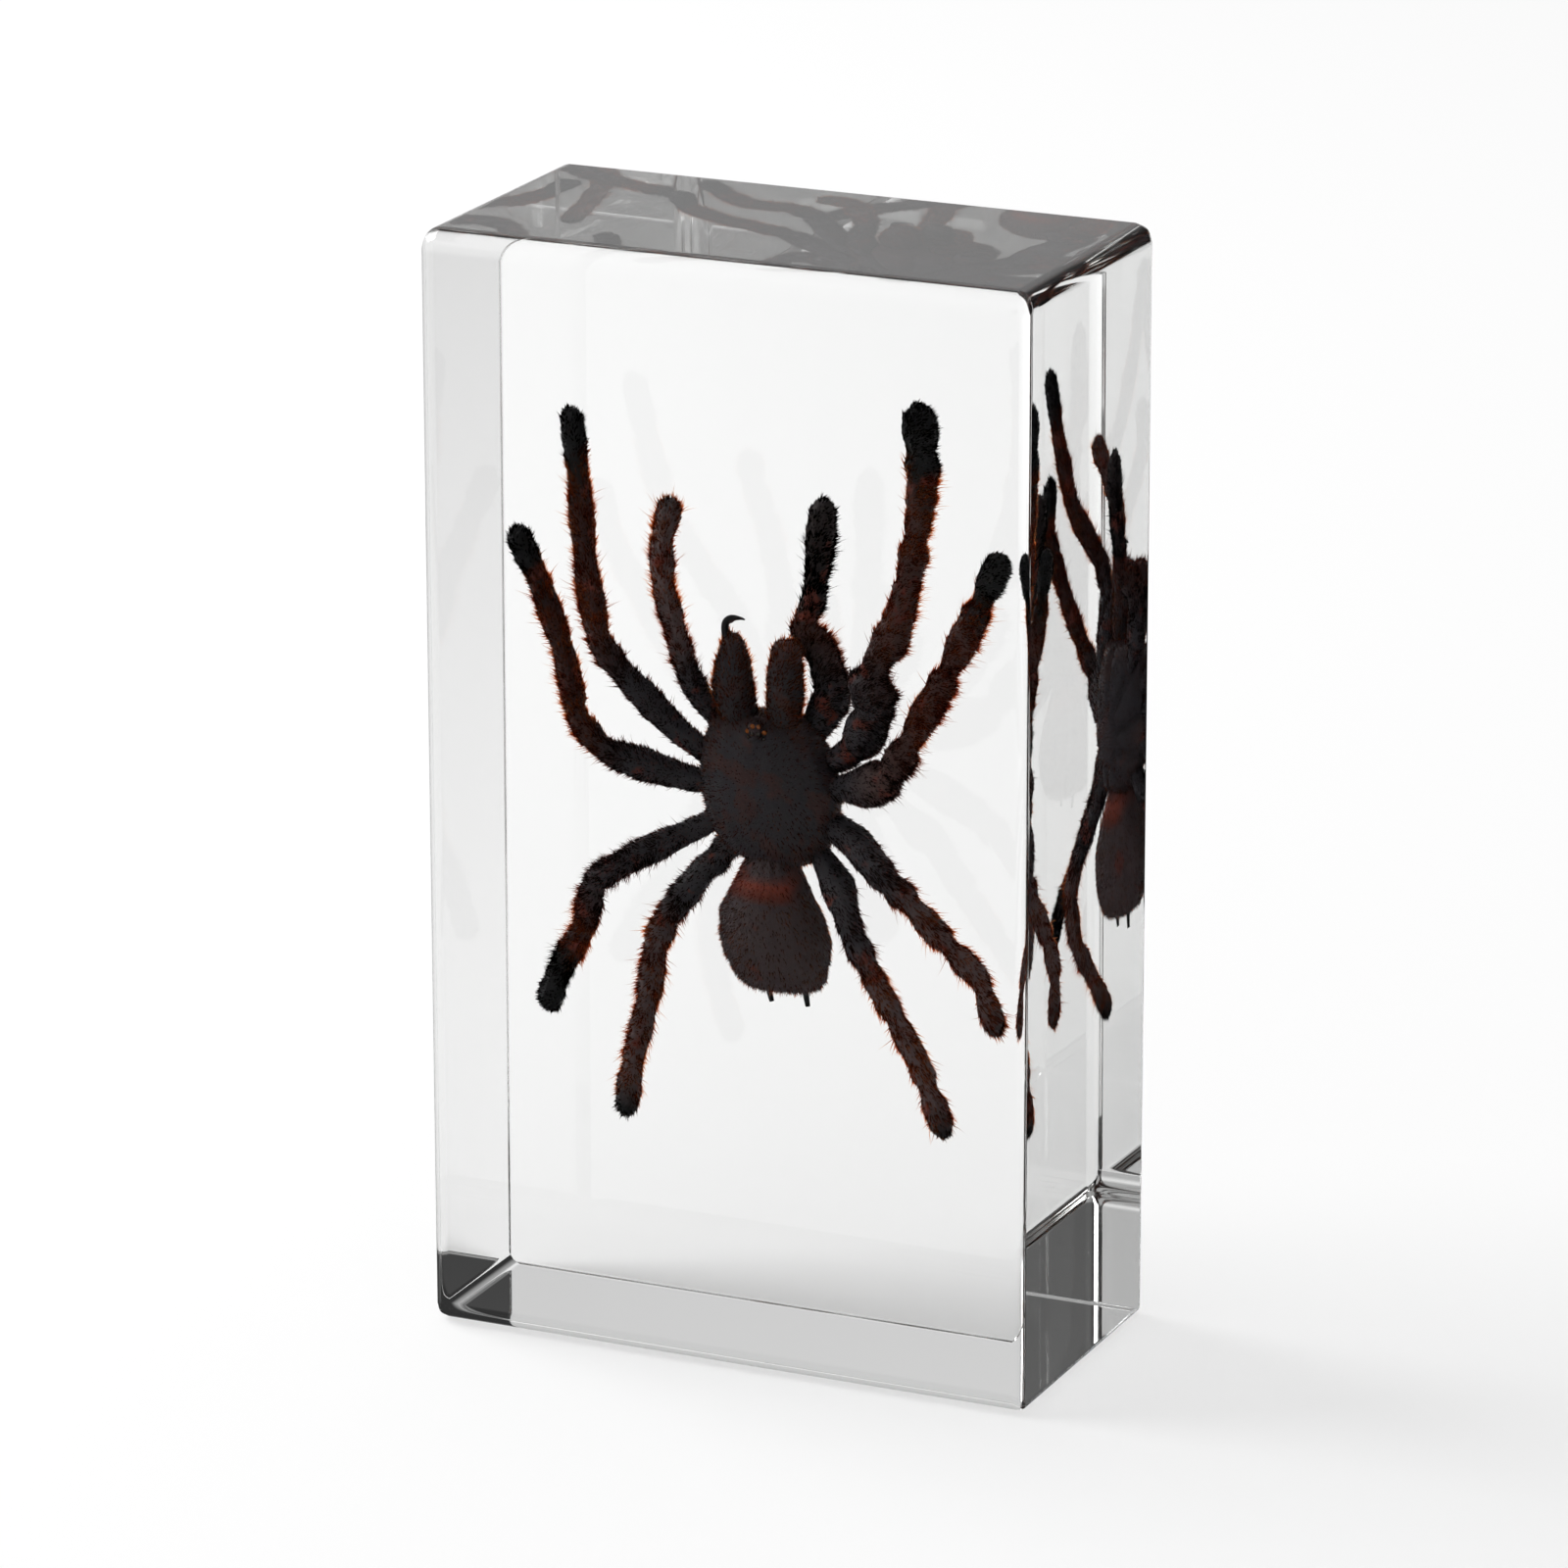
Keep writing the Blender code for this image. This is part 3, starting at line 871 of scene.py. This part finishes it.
def bristle_length(tree, inputs, thick, length_here):
    """Length of each bristle: mostly short, rarely long, and longer in thick tufts."""
    chance = add_node(tree, "FunctionNodeRandomValue", {"Seed": inputs["Seed"]},
                      data_type="FLOAT").outputs[1]
    rare = float_math(tree, "POWER", chance, RARITY)
    spread = float_math(tree, "SUBTRACT", inputs["Longest"], inputs["Shortest"])
    extra = float_math(tree, "MULTIPLY", rare, spread)
    length = float_math(tree, "ADD", inputs["Shortest"], extra)
    in_tuft = float_math(tree, "POWER", thick, TUFT_LENGTH_POWER)
    length = float_math(tree, "MULTIPLY", length, in_tuft)
    return float_math(tree, "MULTIPLY", length, length_here)


# %% [markdown]
# ## Lie of the coat
#
# Bristles lean away from the body and stand up from the skin by their lift. A random vector
# makes them untidy, and a noise combs neighbours the same way, so that they gather in tufts.
# The four parts are simply added up.

# %% Lie of the coat
def bristle_turn(tree, inputs, normal):
    """Rotation that points each bristle away from the body, lifted, untidy and in tufts."""
    outwards = vector_math(tree, "SUBTRACT", position_of(tree), inputs["Body Centre"])
    stray = add_node(tree, "FunctionNodeRandomValue", {
        "Min": (-1, -1, -1), "Max": (1, 1, 1), "Seed": inputs["Seed"],
    }, data_type="FLOAT_VECTOR")
    tufts = tuft_noise(tree, inputs)["Color"]
    combed = vector_math(tree, "SUBTRACT", tufts, (0.5, 0.5, 0.5))
    direction = vector_math(tree, "ADD", vector_math(tree, "SCALE", normal, inputs["Lift"]),
                            vector_math(tree, "NORMALIZE", outwards))
    for part, amount in ((stray.outputs[0], "Untidiness"), (combed, "Tufting")):
        part = vector_math(tree, "SCALE", part, inputs[amount])
        direction = vector_math(tree, "ADD", direction, part)
    align = add_node(tree, "FunctionNodeAlignRotationToVector", {"Vector": direction},
                     axis="Z")
    return align.outputs[0]


# %% [markdown]
# ## Bristle group
#
# One node group holds all of it, with a named input for each size, so every coat on the spider
# is made by the same group with other numbers. Its last nodes turn the instances into real mesh
# and give them their material.

# %% Bristle group
BRISTLE_INPUTS = {
    "Geometry": {"Geometry": None},
    "Vector": {"Body Centre": None},
    "Material": {"Material": None},
    "Int": {"Steps": 1, "Seed": 1},
    "Float": {
        "Density": 1.0, "Shortest": 0.2 * MM, "Longest": 0.6 * MM, "Root Radius": 0.03 * MM,
        "Lift": 0.5, "Untidiness": 0.3, "Tufting": 0.5, "Tuft Scale": 600.0,
        "Patchiness": 0.0, "Length At Body": 1.0, "Length At Tip": 1.0, "Bend": 2.0,
    },
}


def make_bristle_group():
    """Geometry Nodes group that scatters bristles over a skin."""
    tree = bpy.data.node_groups.new("bristle_coat", "GeometryNodeTree")
    for kind, sockets in BRISTLE_INPUTS.items():
        for name, value in sockets.items():
            socket = tree.interface.new_socket(name, in_out="INPUT",
                                               socket_type="NodeSocket" + kind)
            if value is not None:
                socket.default_value = value
    tree.interface.new_socket("Geometry", in_out="OUTPUT", socket_type="NodeSocketGeometry")
    inputs = add_node(tree, "NodeGroupInput").outputs
    thick = patch_factor(tree, inputs)
    length_here = share_factor(tree, inputs)
    density = inputs["Density"]
    for factor in (stored_number(tree, "fur"), thick, length_here):
        density = float_math(tree, "MULTIPLY", density, factor)
    scatter = add_node(tree, "GeometryNodeDistributePointsOnFaces", {
        "Mesh": inputs["Geometry"], "Density": density, "Seed": inputs["Seed"],
    }, distribute_method="RANDOM")
    size = add_node(tree, "ShaderNodeCombineXYZ", {
        "X": inputs["Root Radius"], "Y": inputs["Root Radius"],
        "Z": bristle_length(tree, inputs, thick, length_here),
    })
    plant = add_node(tree, "GeometryNodeInstanceOnPoints", {
        "Points": scatter.outputs["Points"], "Instance": make_spike(tree, inputs),
        "Rotation": bristle_turn(tree, inputs, scatter.outputs["Normal"]),
        "Scale": size.outputs[0],
    })
    real = add_node(tree, "GeometryNodeRealizeInstances", {0: plant.outputs[0]})
    painted = add_node(tree, "GeometryNodeSetMaterial", {
        "Geometry": real.outputs[0], "Material": inputs["Material"],
    })
    add_node(tree, "NodeGroupOutput", {"Geometry": painted.outputs[0]})
    return tree


bristle_group = make_bristle_group()
socket_ids = {item.name: item.identifier for item in bristle_group.interface.items_tree
              if item.in_out == "INPUT"}
print("bristle inputs:", sorted(socket_ids))

# %% [markdown]
# ## Growing a coat
#
# A coat is a set of numbers for the group's inputs, in mm and in bristles per square mm. The
# group runs as a modifier on a holder, whose result is kept as a plain mesh. A piece then joins
# its skin, its coats and its bare parts under its solid's name, hangs under the root and hides
# that solid.

# %% Grow coats and join a piece
PER_MM2 = 1e6


def coat(density, shortest, longest, radius, lift, untidiness, **more):
    """Settings of one coat of bristles."""
    settings = {
        "Density": density * PER_MM2, "Shortest": shortest * MM, "Longest": longest * MM,
        "Root Radius": radius * MM, "Lift": lift, "Untidiness": untidiness,
    }
    for name, value in more.items():
        settings[name.replace("_", " ")] = value
    return settings


def grow_bristles(skin, material, settings, seed):
    """Bristles on a skin mesh as a plain mesh of their own."""
    holder = add_object(skin.name + "_holder", skin)
    modifier = holder.modifiers.new("coat", "NODES")
    modifier.node_group = bristle_group
    fixed = {"Body Centre": tuple(body_centre), "Material": material, "Seed": seed}
    for name, value in {**fixed, **settings}.items():
        modifier[socket_ids[name]] = value
    return plain_mesh(holder)


def join_meshes(name, meshes):
    """One object from several meshes, each with its own material."""
    objects = [add_object(name, mesh) for mesh in meshes]
    with bpy.context.temp_override(active_object=objects[0], object=objects[0],
                                   selected_objects=objects,
                                   selected_editable_objects=objects):
        bpy.ops.object.join()
    joined = objects[0]
    joined.name = name
    joined.data.name = name
    return joined


def finish_piece(node, skin, skin_finish, coats, bare_parts=()):
    """Grow the coats on a painted skin, join all, and say what the piece stands for."""
    paint(skin, skin_finish)
    grown = [grow_bristles(skin, *one_coat) for one_coat in coats]
    piece = join_meshes(node + "_bristly", [skin, *grown, *bare_parts])
    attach(piece, "root")
    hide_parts(node)
    triangles = sum(len(face.vertices) - 2 for face in piece.data.polygons)
    print(piece.name, "triangles:", triangles)


# %% [markdown]
# ## Finishes of the spider
#
# The spider is nearly black. Its front body and the legs close to it have a cool, dull bloom.
# Further out the legs turn brown with rusty blotches, and their tips are black again. One flat
# colour for each would look painted on, so a colour ramp follows the stored 'share' along a
# piece, and noise in the piece's own coordinates makes the blotches.

# %% Colour helpers
CLOUD_DETAIL = 3.0


def ramp(tree, source, stops):
    """Colour along a source, from stops of a place and a colour."""
    node = add_node(tree, "ShaderNodeValToRGB", {"Fac": source})
    elements = node.color_ramp.elements
    while len(elements) < len(stops):
        elements.new(0.5)
    for element, (position, colour) in zip(elements, stops):
        element.position = position
        element.color = (*colour, 1.0)
    return node.outputs["Color"]


def cloud(tree, scale):
    """Noise over the whole object, in its own coordinates."""
    place = add_node(tree, "ShaderNodeTexCoord").outputs["Object"]
    node = add_node(tree, "ShaderNodeTexNoise",
                    {"Scale": scale, "Detail": CLOUD_DETAIL, "Vector": place})
    return node.outputs["Fac"]


def blend_colours(tree, factor, first, second):
    """Mix of two colours by a factor."""
    node = add_node(tree, "ShaderNodeMix", {0: factor, 6: first, 7: second},
                    data_type="RGBA")
    return node.outputs[2]


# %% Skin finish
SACK_BLACK = (0.085, 0.062, 0.063)
RED_BROWN = (0.16, 0.035, 0.022)
PATCH_BLUR = 0.9 * MM
BLOTCH_SCALE = 330.0
BLOTCH_BLUR = 0.12
BLOTCHES_END = (0.84, 0.90)
RELIEF_SCALE = 2500.0
RELIEF_HEIGHT = 0.06 * MM
RELIEF_STRENGTH = 0.6
SHEEN_LEVEL = 0.3


def piece_colour(tree, stops, patch_end=None):
    """Colour along a piece, and black again past a place across it."""
    colour = ramp(tree, stored(tree, "share"), stops)
    if patch_end is None:
        return colour
    place = add_node(tree, "ShaderNodeTexCoord").outputs["Object"]
    across = add_node(tree, "ShaderNodeSeparateXYZ", {0: place}).outputs["X"]
    past = between(tree, across, patch_end - PATCH_BLUR, patch_end + PATCH_BLUR)
    return blend_colours(tree, past, colour, SACK_BLACK)


def skin_material(name, stops, rust_from, rust=RED_BROWN, patch_end=None, roughness=0.55):
    """Colour along the piece, with rusty blotches and fine relief."""
    material, tree, shader = new_material(name)
    blotches = between(tree, cloud(tree, BLOTCH_SCALE), rust_from, rust_from + BLOTCH_BLUR)
    inner = between(tree, stored(tree, "share"), *BLOTCHES_END, 1.0, 0.0)
    blotches = float_math(tree, "MULTIPLY", blotches, inner)
    relief = add_node(tree, "ShaderNodeBump", {
        "Strength": RELIEF_STRENGTH, "Distance": RELIEF_HEIGHT,
        "Height": cloud(tree, RELIEF_SCALE),
    })
    feed(tree, shader, {
        "Base Color": blend_colours(tree, blotches, piece_colour(tree, stops, patch_end), rust),
        "Roughness": roughness,
        "Specular IOR Level": SHEEN_LEVEL,
        "Normal": relief.outputs[0],
    })
    return material


# %% [markdown]
# ## Finishes of the bristles
#
# The short nap has the colour of the skin under it, with redder tips in patches. The outer
# bristles glow orange where light comes through them from behind, which gives the spider its
# bright outline. An emission would glow in the dark too, so they are made of a clear coloured
# material instead. In resin a bristle hardly bends light. Blender takes an index as if air lay
# round the piece, so theirs is close to 1.

# %% Nap and fringe finishes
SOOT = (0.02, 0.01, 0.008)
COAL = (0.22, 0.13, 0.12)
EMBER = (0.35, 0.09, 0.05)
FLAME = (0.55, 0.17, 0.08)
FIRE = (0.90, 0.38, 0.15)
NAP_PATCH_SCALE = 300.0
NAP_PATCH_BLUR = 0.16
NAP_TIP = (0.1, 0.9)
NAP_ROUGHNESS = 0.6
RED_TIPS_END = (0.82, 0.88)
FRINGE_PATCH_SCALE = 260.0
FRINGE_PATCHES = (0.38, 0.60)
FRINGE_ROOT = (0.0, 0.6)
FRINGE_CLEARNESS = 0.92
FRINGE_ROUGHNESS = 0.2
FRINGE_IOR = 1.06
GLOW_BLUR = 0.15
BLACK_BLUR = 0.05


def bristle_material(name, stops, tip, patch_from, patch_end=None):
    """Opaque bristles in the colour of the skin, with redder tips in patches."""
    material, tree, shader = new_material(name)
    patches = between(tree, cloud(tree, NAP_PATCH_SCALE), patch_from,
                      patch_from + NAP_PATCH_BLUR)
    near_tip = between(tree, stored(tree, "strand"), *NAP_TIP)
    inner = between(tree, stored(tree, "share"), *RED_TIPS_END, 1.0, 0.0)
    redder = float_math(tree, "MULTIPLY", patches, near_tip)
    redder = float_math(tree, "MULTIPLY", redder, inner)
    feed(tree, shader, {
        "Base Color": blend_colours(tree, redder, piece_colour(tree, stops, patch_end), tip),
        "Roughness": NAP_ROUGHNESS,
        "Specular IOR Level": SHEEN_LEVEL,
    })
    return material


def fringe_material(name, glow_from, black_from):
    """Clear red-brown to amber bristles that glow only where light comes through them."""
    material, tree, shader = new_material(name)
    share = stored(tree, "share")
    patches = between(tree, cloud(tree, FRINGE_PATCH_SCALE), *FRINGE_PATCHES)
    outer = between(tree, share, glow_from, glow_from + GLOW_BLUR)
    inner = between(tree, share, black_from, black_from + BLACK_BLUR, 1.0, 0.0)
    lively = float_math(tree, "MULTIPLY", patches, outer)
    along = between(tree, stored(tree, "strand"), *FRINGE_ROOT)
    dull, bright = (blend_colours(tree, along, EMBER, end) for end in (FLAME, FIRE))
    colour = blend_colours(tree, lively, dull, bright)
    colour = blend_colours(tree, outer, COAL, colour)
    feed(tree, shader, {
        "Base Color": blend_colours(tree, inner, SOOT, colour),
        "Transmission Weight": FRINGE_CLEARNESS,
        "Roughness": FRINGE_ROUGHNESS,
        "IOR": FRINGE_IOR,
    })
    return material


# %% [markdown]
# ## Finishes of each piece
#
# The limbs differ in colour: some stay dark for longer, one ends in a long black tip, and one
# feeler is black from its middle on. Painting each by hand would be slow to change. A function
# makes the skin, nap and fringe of a limb from the shares at which its brown begins and ends.
# The red patch across the front of the rear body ends short of its right side.

# %% Finishes of the limbs
BLACK = (0.004, 0.004, 0.005)
INK = (0.022, 0.015, 0.015)
GREY_BLOOM = (0.045, 0.041, 0.047)
DARK_BROWN = (0.125, 0.090, 0.088)
MID_BROWN = (0.080, 0.042, 0.037)
DEEP_BROWN = (0.042, 0.016, 0.013)
BLOOM_BLUR = 0.12
TIP_BLUR = 0.08
LIMB_RUST_FROM = 0.56
LIMB_RED_FROM = 0.48


def limb_finish(name, brown, brown_from, brown_until, tip=BLACK, glow=(0.42, 0.86)):
    """Skin, nap and fringe of a limb: a grey bloom, then brown, then a black tip."""
    stops = [(0.0, GREY_BLOOM), (brown_from - BLOOM_BLUR, GREY_BLOOM), (brown_from, brown),
             (brown_until, brown), (brown_until + TIP_BLUR, tip)]
    return (skin_material(name + "_skin", stops, LIMB_RUST_FROM),
            bristle_material(name + "_bristle", stops, RED_BROWN, LIMB_RED_FROM),
            fringe_material(name + "_fringe", *glow))


PLAIN_FINISH = limb_finish("limb", DARK_BROWN, 0.58, 0.82)
deep_finish = limb_finish("deep_limb", DEEP_BROWN, 0.54, 0.78)
LIMB_FINISHES = {
    "leg_left_1": deep_finish,
    "leg_left_2": deep_finish,
    "leg_left_3": limb_finish("black_limb", DEEP_BROWN, 0.68, 0.73, glow=(0.58, 0.77)),
    "leg_right_1": limb_finish("brown_limb", MID_BROWN, 0.54, 0.78),
    "leg_right_2": limb_finish("early_brown_limb", MID_BROWN, 0.38, 0.78),
    "pedipalp_right": limb_finish("palp", DEEP_BROWN, 0.54, 0.56, INK, (0.46, 0.58)),
}
print("limbs with their own finish:", sorted(LIMB_FINISHES))

# %% Finishes of the body
BLOOM_BLACK = (0.035, 0.031, 0.037)
UMBER = (0.055, 0.027, 0.026)
RUST = (0.30, 0.070, 0.045)
BODY_STOPS = [(0.0, BLOOM_BLACK), (0.80, BLOOM_BLACK), (1.0, UMBER)]
SACK_STOPS = [(0.0, BLOOM_BLACK), (0.41, SACK_BLACK), (0.445, RUST), (0.50, RED_BROWN),
              (0.54, SACK_BLACK)]
PATCH_END = 4.0 * MM

body_skin = skin_material("body_skin", BODY_STOPS, rust_from=0.52, rust=UMBER)
body_bristle = bristle_material("body_bristle", BODY_STOPS, UMBER, patch_from=0.46)
body_fringe = fringe_material("body_fringe", glow_from=0.30, black_from=1.1)
sack_finish = skin_material("sack_skin", SACK_STOPS, rust_from=0.60, patch_end=PATCH_END)
sack_bristle = bristle_material("sack_bristle", SACK_STOPS, SACK_BLACK, patch_from=0.40,
                                patch_end=PATCH_END)
fang_horn = skin_material("fang_horn", [(0.0, BLACK), (1.0, BLACK)], rust_from=0.9,
                          roughness=0.4)
print("materials:", len(bpy.data.materials))

# %% [markdown]
# ## The ten limbs
#
# All limbs are made the same way, with three coats of bristles: a dense short nap that gives the
# dull surface, thick tufts that break up the outline, and a few long single hairs. Limbs with
# their own finish get more tufts. 'share' ends below 1 on a limb that stays brown for longer, so
# that less of its tip is black.

# %% Limbs
LIMB_NAMES = sorted(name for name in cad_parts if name.startswith(("leg", "pedipalp")))
TIP_SHARES = {
    "pedipalp_left": 0.88, "leg_left_4": 0.92, "leg_right_3": 0.88, "leg_right_4": 0.90,
}
LIMB_REACH = 0.25 * MM
LIMB_LUMPS = 0.22 * MM
LIMB_LUMP_SIZE = 1.2 * MM
LIMB_NAP = coat(density=14, shortest=0.25, longest=0.55, radius=0.05, lift=0.45,
                untidiness=0.30)
TUFTS = coat(density=13, shortest=0.42, longest=1.0, radius=0.08, lift=0.82, untidiness=0.40,
             Tufting=1.8, Tuft_Scale=900.0, Patchiness=0.65, Length_At_Body=0.55,
             Length_At_Tip=0.65)
THICK_TUFTS = {**TUFTS, "Density": 17 * PER_MM2}
HAIRS = coat(density=1.3, shortest=0.9, longest=2.2, radius=0.05, lift=0.9, untidiness=0.6,
             Steps=2, Bend=4.0, Length_At_Body=0.6, Length_At_Tip=0.4)

for number, node in enumerate(LIMB_NAMES):
    skin = make_skin(node, LIMB_REACH, LIMB_LUMPS, LIMB_LUMP_SIZE, number + 1,
                     [make_hip(node)], TIP_SHARES.get(node, 1.0))
    reach_into_body(skin)
    skin_finish, nap_finish, fringe_finish = LIMB_FINISHES.get(node, PLAIN_FINISH)
    finish_piece(node, skin, skin_finish, (
        (nap_finish, LIMB_NAP, number * 3 + 1),
        (fringe_finish, THICK_TUFTS if node in LIMB_FINISHES else TUFTS, number * 3 + 2),
        (fringe_finish, HAIRS, number * 3 + 3),
    ))

# %% [markdown]
# ## Front body
#
# Above, the front body is a low shield with a pit in its middle and shallow furrows that run out
# from it between the legs. Below, the hips of the limbs crowd round a small breastplate. Both
# patterns are spokes round a middle, so one function carves them into the skin. A bump map
# would be quicker, but it wouldn't change the mesh itself.

# %% Front body
PIT_SHARE = 0.40
PIT_DEPTH = 0.40 * MM
PIT_SIZE = 1.0 * MM
UPPER_SIDE = -0.25
LOWER_SIDE = 0.15
SHIELD_SPOKES = (8, 6)
SHIELD_FURROW = 0.16 * MM
FURROW_START = 2 * MM
FURROW_END = 7.5 * MM
HIP_SPOKES = (10, 3)
HIP_FURROW = 0.75 * MM
BREASTPLATE_RADIUS = 2.6 * MM
RIM_WIDTH = 0.6 * MM
RIM_DEPTH = 0.6
GAP_START = 1.0 * MM


def spokes(across, along, count, sharpness):
    """1 in the furrows between evenly spread spokes, 0 on them."""
    turn = math.atan2(across, along)
    return max(0.0, math.cos(turn * count)) ** sharpness


def carved(vertex, middle_z):
    """How far the skin of the front body moves at a vertex, backwards or to the front."""
    across = vertex.co.x - body_centre.x
    along = vertex.co.z - middle_z
    distance = math.hypot(across, along)
    if vertex.normal.y < UPPER_SIDE:
        pit = PIT_DEPTH * math.exp(-(distance / PIT_SIZE) ** 2)
        fade = min(1.0, distance / FURROW_START) * max(0.0, 1 - distance / FURROW_END)
        return pit + SHIELD_FURROW * spokes(across, along, *SHIELD_SPOKES) * fade
    if vertex.normal.y > LOWER_SIDE:
        outside = max(0.0, distance - BREASTPLATE_RADIUS)
        rim = math.exp(-(outside / RIM_WIDTH) ** 2) if outside else 0.0
        gap = spokes(across, along, *HIP_SPOKES) * min(1.0, outside / GAP_START)
        return -HIP_FURROW * max(rim * RIM_DEPTH, gap)
    return 0.0


shield_skin = make_skin("cephalothorax", reach=0.10 * MM, lump_height=0.08 * MM,
                        lump_size=1.8 * MM, seed=21)
pit_z = body_low.z + (body_high.z - body_low.z) * PIT_SHARE
moves = [carved(vertex, pit_z) for vertex in shield_skin.vertices]
for vertex, move in zip(shield_skin.vertices, moves):
    vertex.co.y += move
shield_skin.update()
print("deepest carving in mm:", round(max(abs(move) for move in moves) / MM, 2))

# %% [markdown]
# ## Eyes
#
# The eyes sit close together on a mound near the front edge. Four of them catch the light and
# show as amber dots in a shallow arc, and four dark ones lie behind them. Each is a tiny dome,
# whose seat is found by a ray shot at the skin, so none of them floats.

# %% Eyes
EYE_MOUND = Vector((0.75, -3.4, 62.9)) * MM
EYE_ARC = ((-0.85, -0.35), (-0.28, 0.20), (0.32, 0.20), (0.88, -0.35))
DARK_EYES = ((-0.75, -0.95), (-0.25, -0.50), (0.28, -0.50), (0.78, -0.95))
EYE_RADIUS = 0.24 * MM
EYE_ROUGHNESS = 0.12
EYE_CLOUD_SCALE = 1800.0
EYE_SHADES = (0.6, 1.2)
AMBER = (0.42, 0.13, 0.03)
DARK_EYE = (0.02, 0.008, 0.004)
ABOVE_SKIN = 5 * MM


def eye_material(name, colour):
    """Wet-looking dome."""
    material, tree, shader = new_material(name)
    shade = between(tree, cloud(tree, EYE_CLOUD_SCALE), 0.3, 0.7, *EYE_SHADES)
    feed(tree, shader, {
        "Base Color": vector_math(tree, "SCALE", colour, shade), "Roughness": EYE_ROUGHNESS,
    })
    return material


def make_eyes(name, places, material):
    """Small domes set into the front of the shield."""
    skin_shape = bmesh.new()
    skin_shape.from_mesh(shield_skin)
    skin_tree = BVHTree.FromBMesh(skin_shape)
    skin_shape.free()
    shape = bmesh.new()
    for across, along in places:
        start = EYE_MOUND + Vector((across * MM, -ABOVE_SKIN, along * MM))
        seat, _, _, _ = skin_tree.ray_cast(start, Vector((0, 1, 0)))
        if seat is not None:
            bmesh.ops.create_icosphere(shape, subdivisions=3, radius=EYE_RADIUS,
                                       matrix=Matrix.Translation(seat))
    mesh = mesh_from(shape, name)
    mesh.shade_smooth()
    paint(mesh, material)
    return mesh


amber_eyes = make_eyes("amber_eyes", EYE_ARC, eye_material("amber_eye", AMBER))
dark_eyes = make_eyes("dark_eyes", DARK_EYES, eye_material("dark_eye", DARK_EYE))
finish_piece("cephalothorax", shield_skin, body_skin, (
    (body_bristle, coat(density=16, shortest=0.2, longest=0.45, radius=0.04, lift=0.35,
                        untidiness=0.35), 31),
    (body_fringe, coat(density=3, shortest=0.35, longest=0.8, radius=0.06, lift=0.60,
                       untidiness=0.4, Tufting=1.2), 32),
), (amber_eyes, dark_eyes))

# %% [markdown]
# ## Rear body
#
# The rear body is a soft sack with a longer, redder coat, and two slender spinnerets at its end.
# Its solid has thick ones, as a solid must. The skin is squashed flat past the sack's end, so
# that those vanish, and two tapered forms take their place.

# %% Rear body
SPINNERETS = (
    ((0.55, 1.6, 36.6), (0.6, 1.6, 35.4), (0.9, 1.6, 34.5)),
    ((4.4, 1.6, 36.8), (4.5, 1.6, 35.4), (4.7, 1.6, 34.5)),
)
SPINNERET_RADII = (0.40, 0.33, 0.26)
SACK_ROOT = 2.0 * MM
SACK_END = 36.4 * MM
SACK_END_LEFT = 0.15

spinnerets = [tapered("spinneret", path, SPINNERET_RADII) for path in SPINNERETS]
sack_skin = make_skin("abdomen", reach=0.22 * MM, lump_height=0.18 * MM,
                      lump_size=2.2 * MM, seed=22)
reach_into_body(sack_skin, SACK_ROOT)
for vertex in sack_skin.vertices:
    if vertex.co.z < SACK_END:
        vertex.co.z = SACK_END + (vertex.co.z - SACK_END) * SACK_END_LEFT
for spinneret in spinnerets:
    paint(spinneret, fang_horn)
finish_piece("abdomen", sack_skin, sack_finish, (
    (sack_bristle, coat(density=18, shortest=0.3, longest=0.65, radius=0.045, lift=0.40,
                        untidiness=0.35), 33),
    (body_fringe, coat(density=4, shortest=0.35, longest=0.8, radius=0.06, lift=0.60,
                       untidiness=0.35, Tufting=1.5), 34),
), spinnerets)

# %% [markdown]
# ## Jaws
#
# Each jaw is a stout cone with a fringe of orange-brown bristles and a horny fang. The left fang
# hooks out past its jaw, and the right one is folded under. The base of a jaw slips under the
# front edge of the shield, so its end is sunk as well as stretched.

# %% Jaws
FANGS = {
    "left": ((-2.7, -1.4, 70.0), (-3.15, -1.5, 71.6), (-3.05, -1.6, 72.8), (-2.1, -1.6, 73.3),
             (-1.0, -1.6, 73.1)),
    "right": ((3.3, -1.2, 70.4), (3.2, 0.6, 71.2), (3.1, 1.7, 70.6), (2.9, 2.0, 69.2),
              (2.7, 2.0, 67.6)),
}
FANG_RADII = (0.50, 0.42, 0.36, 0.27, 0.08)
JAW_ROOT = 2.2 * MM
JAW_SINK = 0.3 * MM
JAW_NAP = coat(density=16, shortest=0.2, longest=0.5, radius=0.04, lift=0.40,
               untidiness=0.35)
JAW_FRINGE = coat(density=10, shortest=0.45, longest=1.0, radius=0.07, lift=0.70,
                  untidiness=0.4, Tufting=1.2)

for number, side in enumerate(("left", "right")):
    node = "chelicera_" + side
    skin = make_skin(node, reach=0.12 * MM, lump_height=0.10 * MM, lump_size=1.3 * MM,
                     seed=23 + number)
    reach_into_body(skin, JAW_ROOT, JAW_SINK)
    fang = tapered("fang_" + side, FANGS[side], FANG_RADII)
    paint(fang, fang_horn)
    finish_piece(node, skin, body_skin, (
        (body_bristle, JAW_NAP, 41 + number), (body_fringe, JAW_FRINGE, 51 + number),
    ), (fang,))
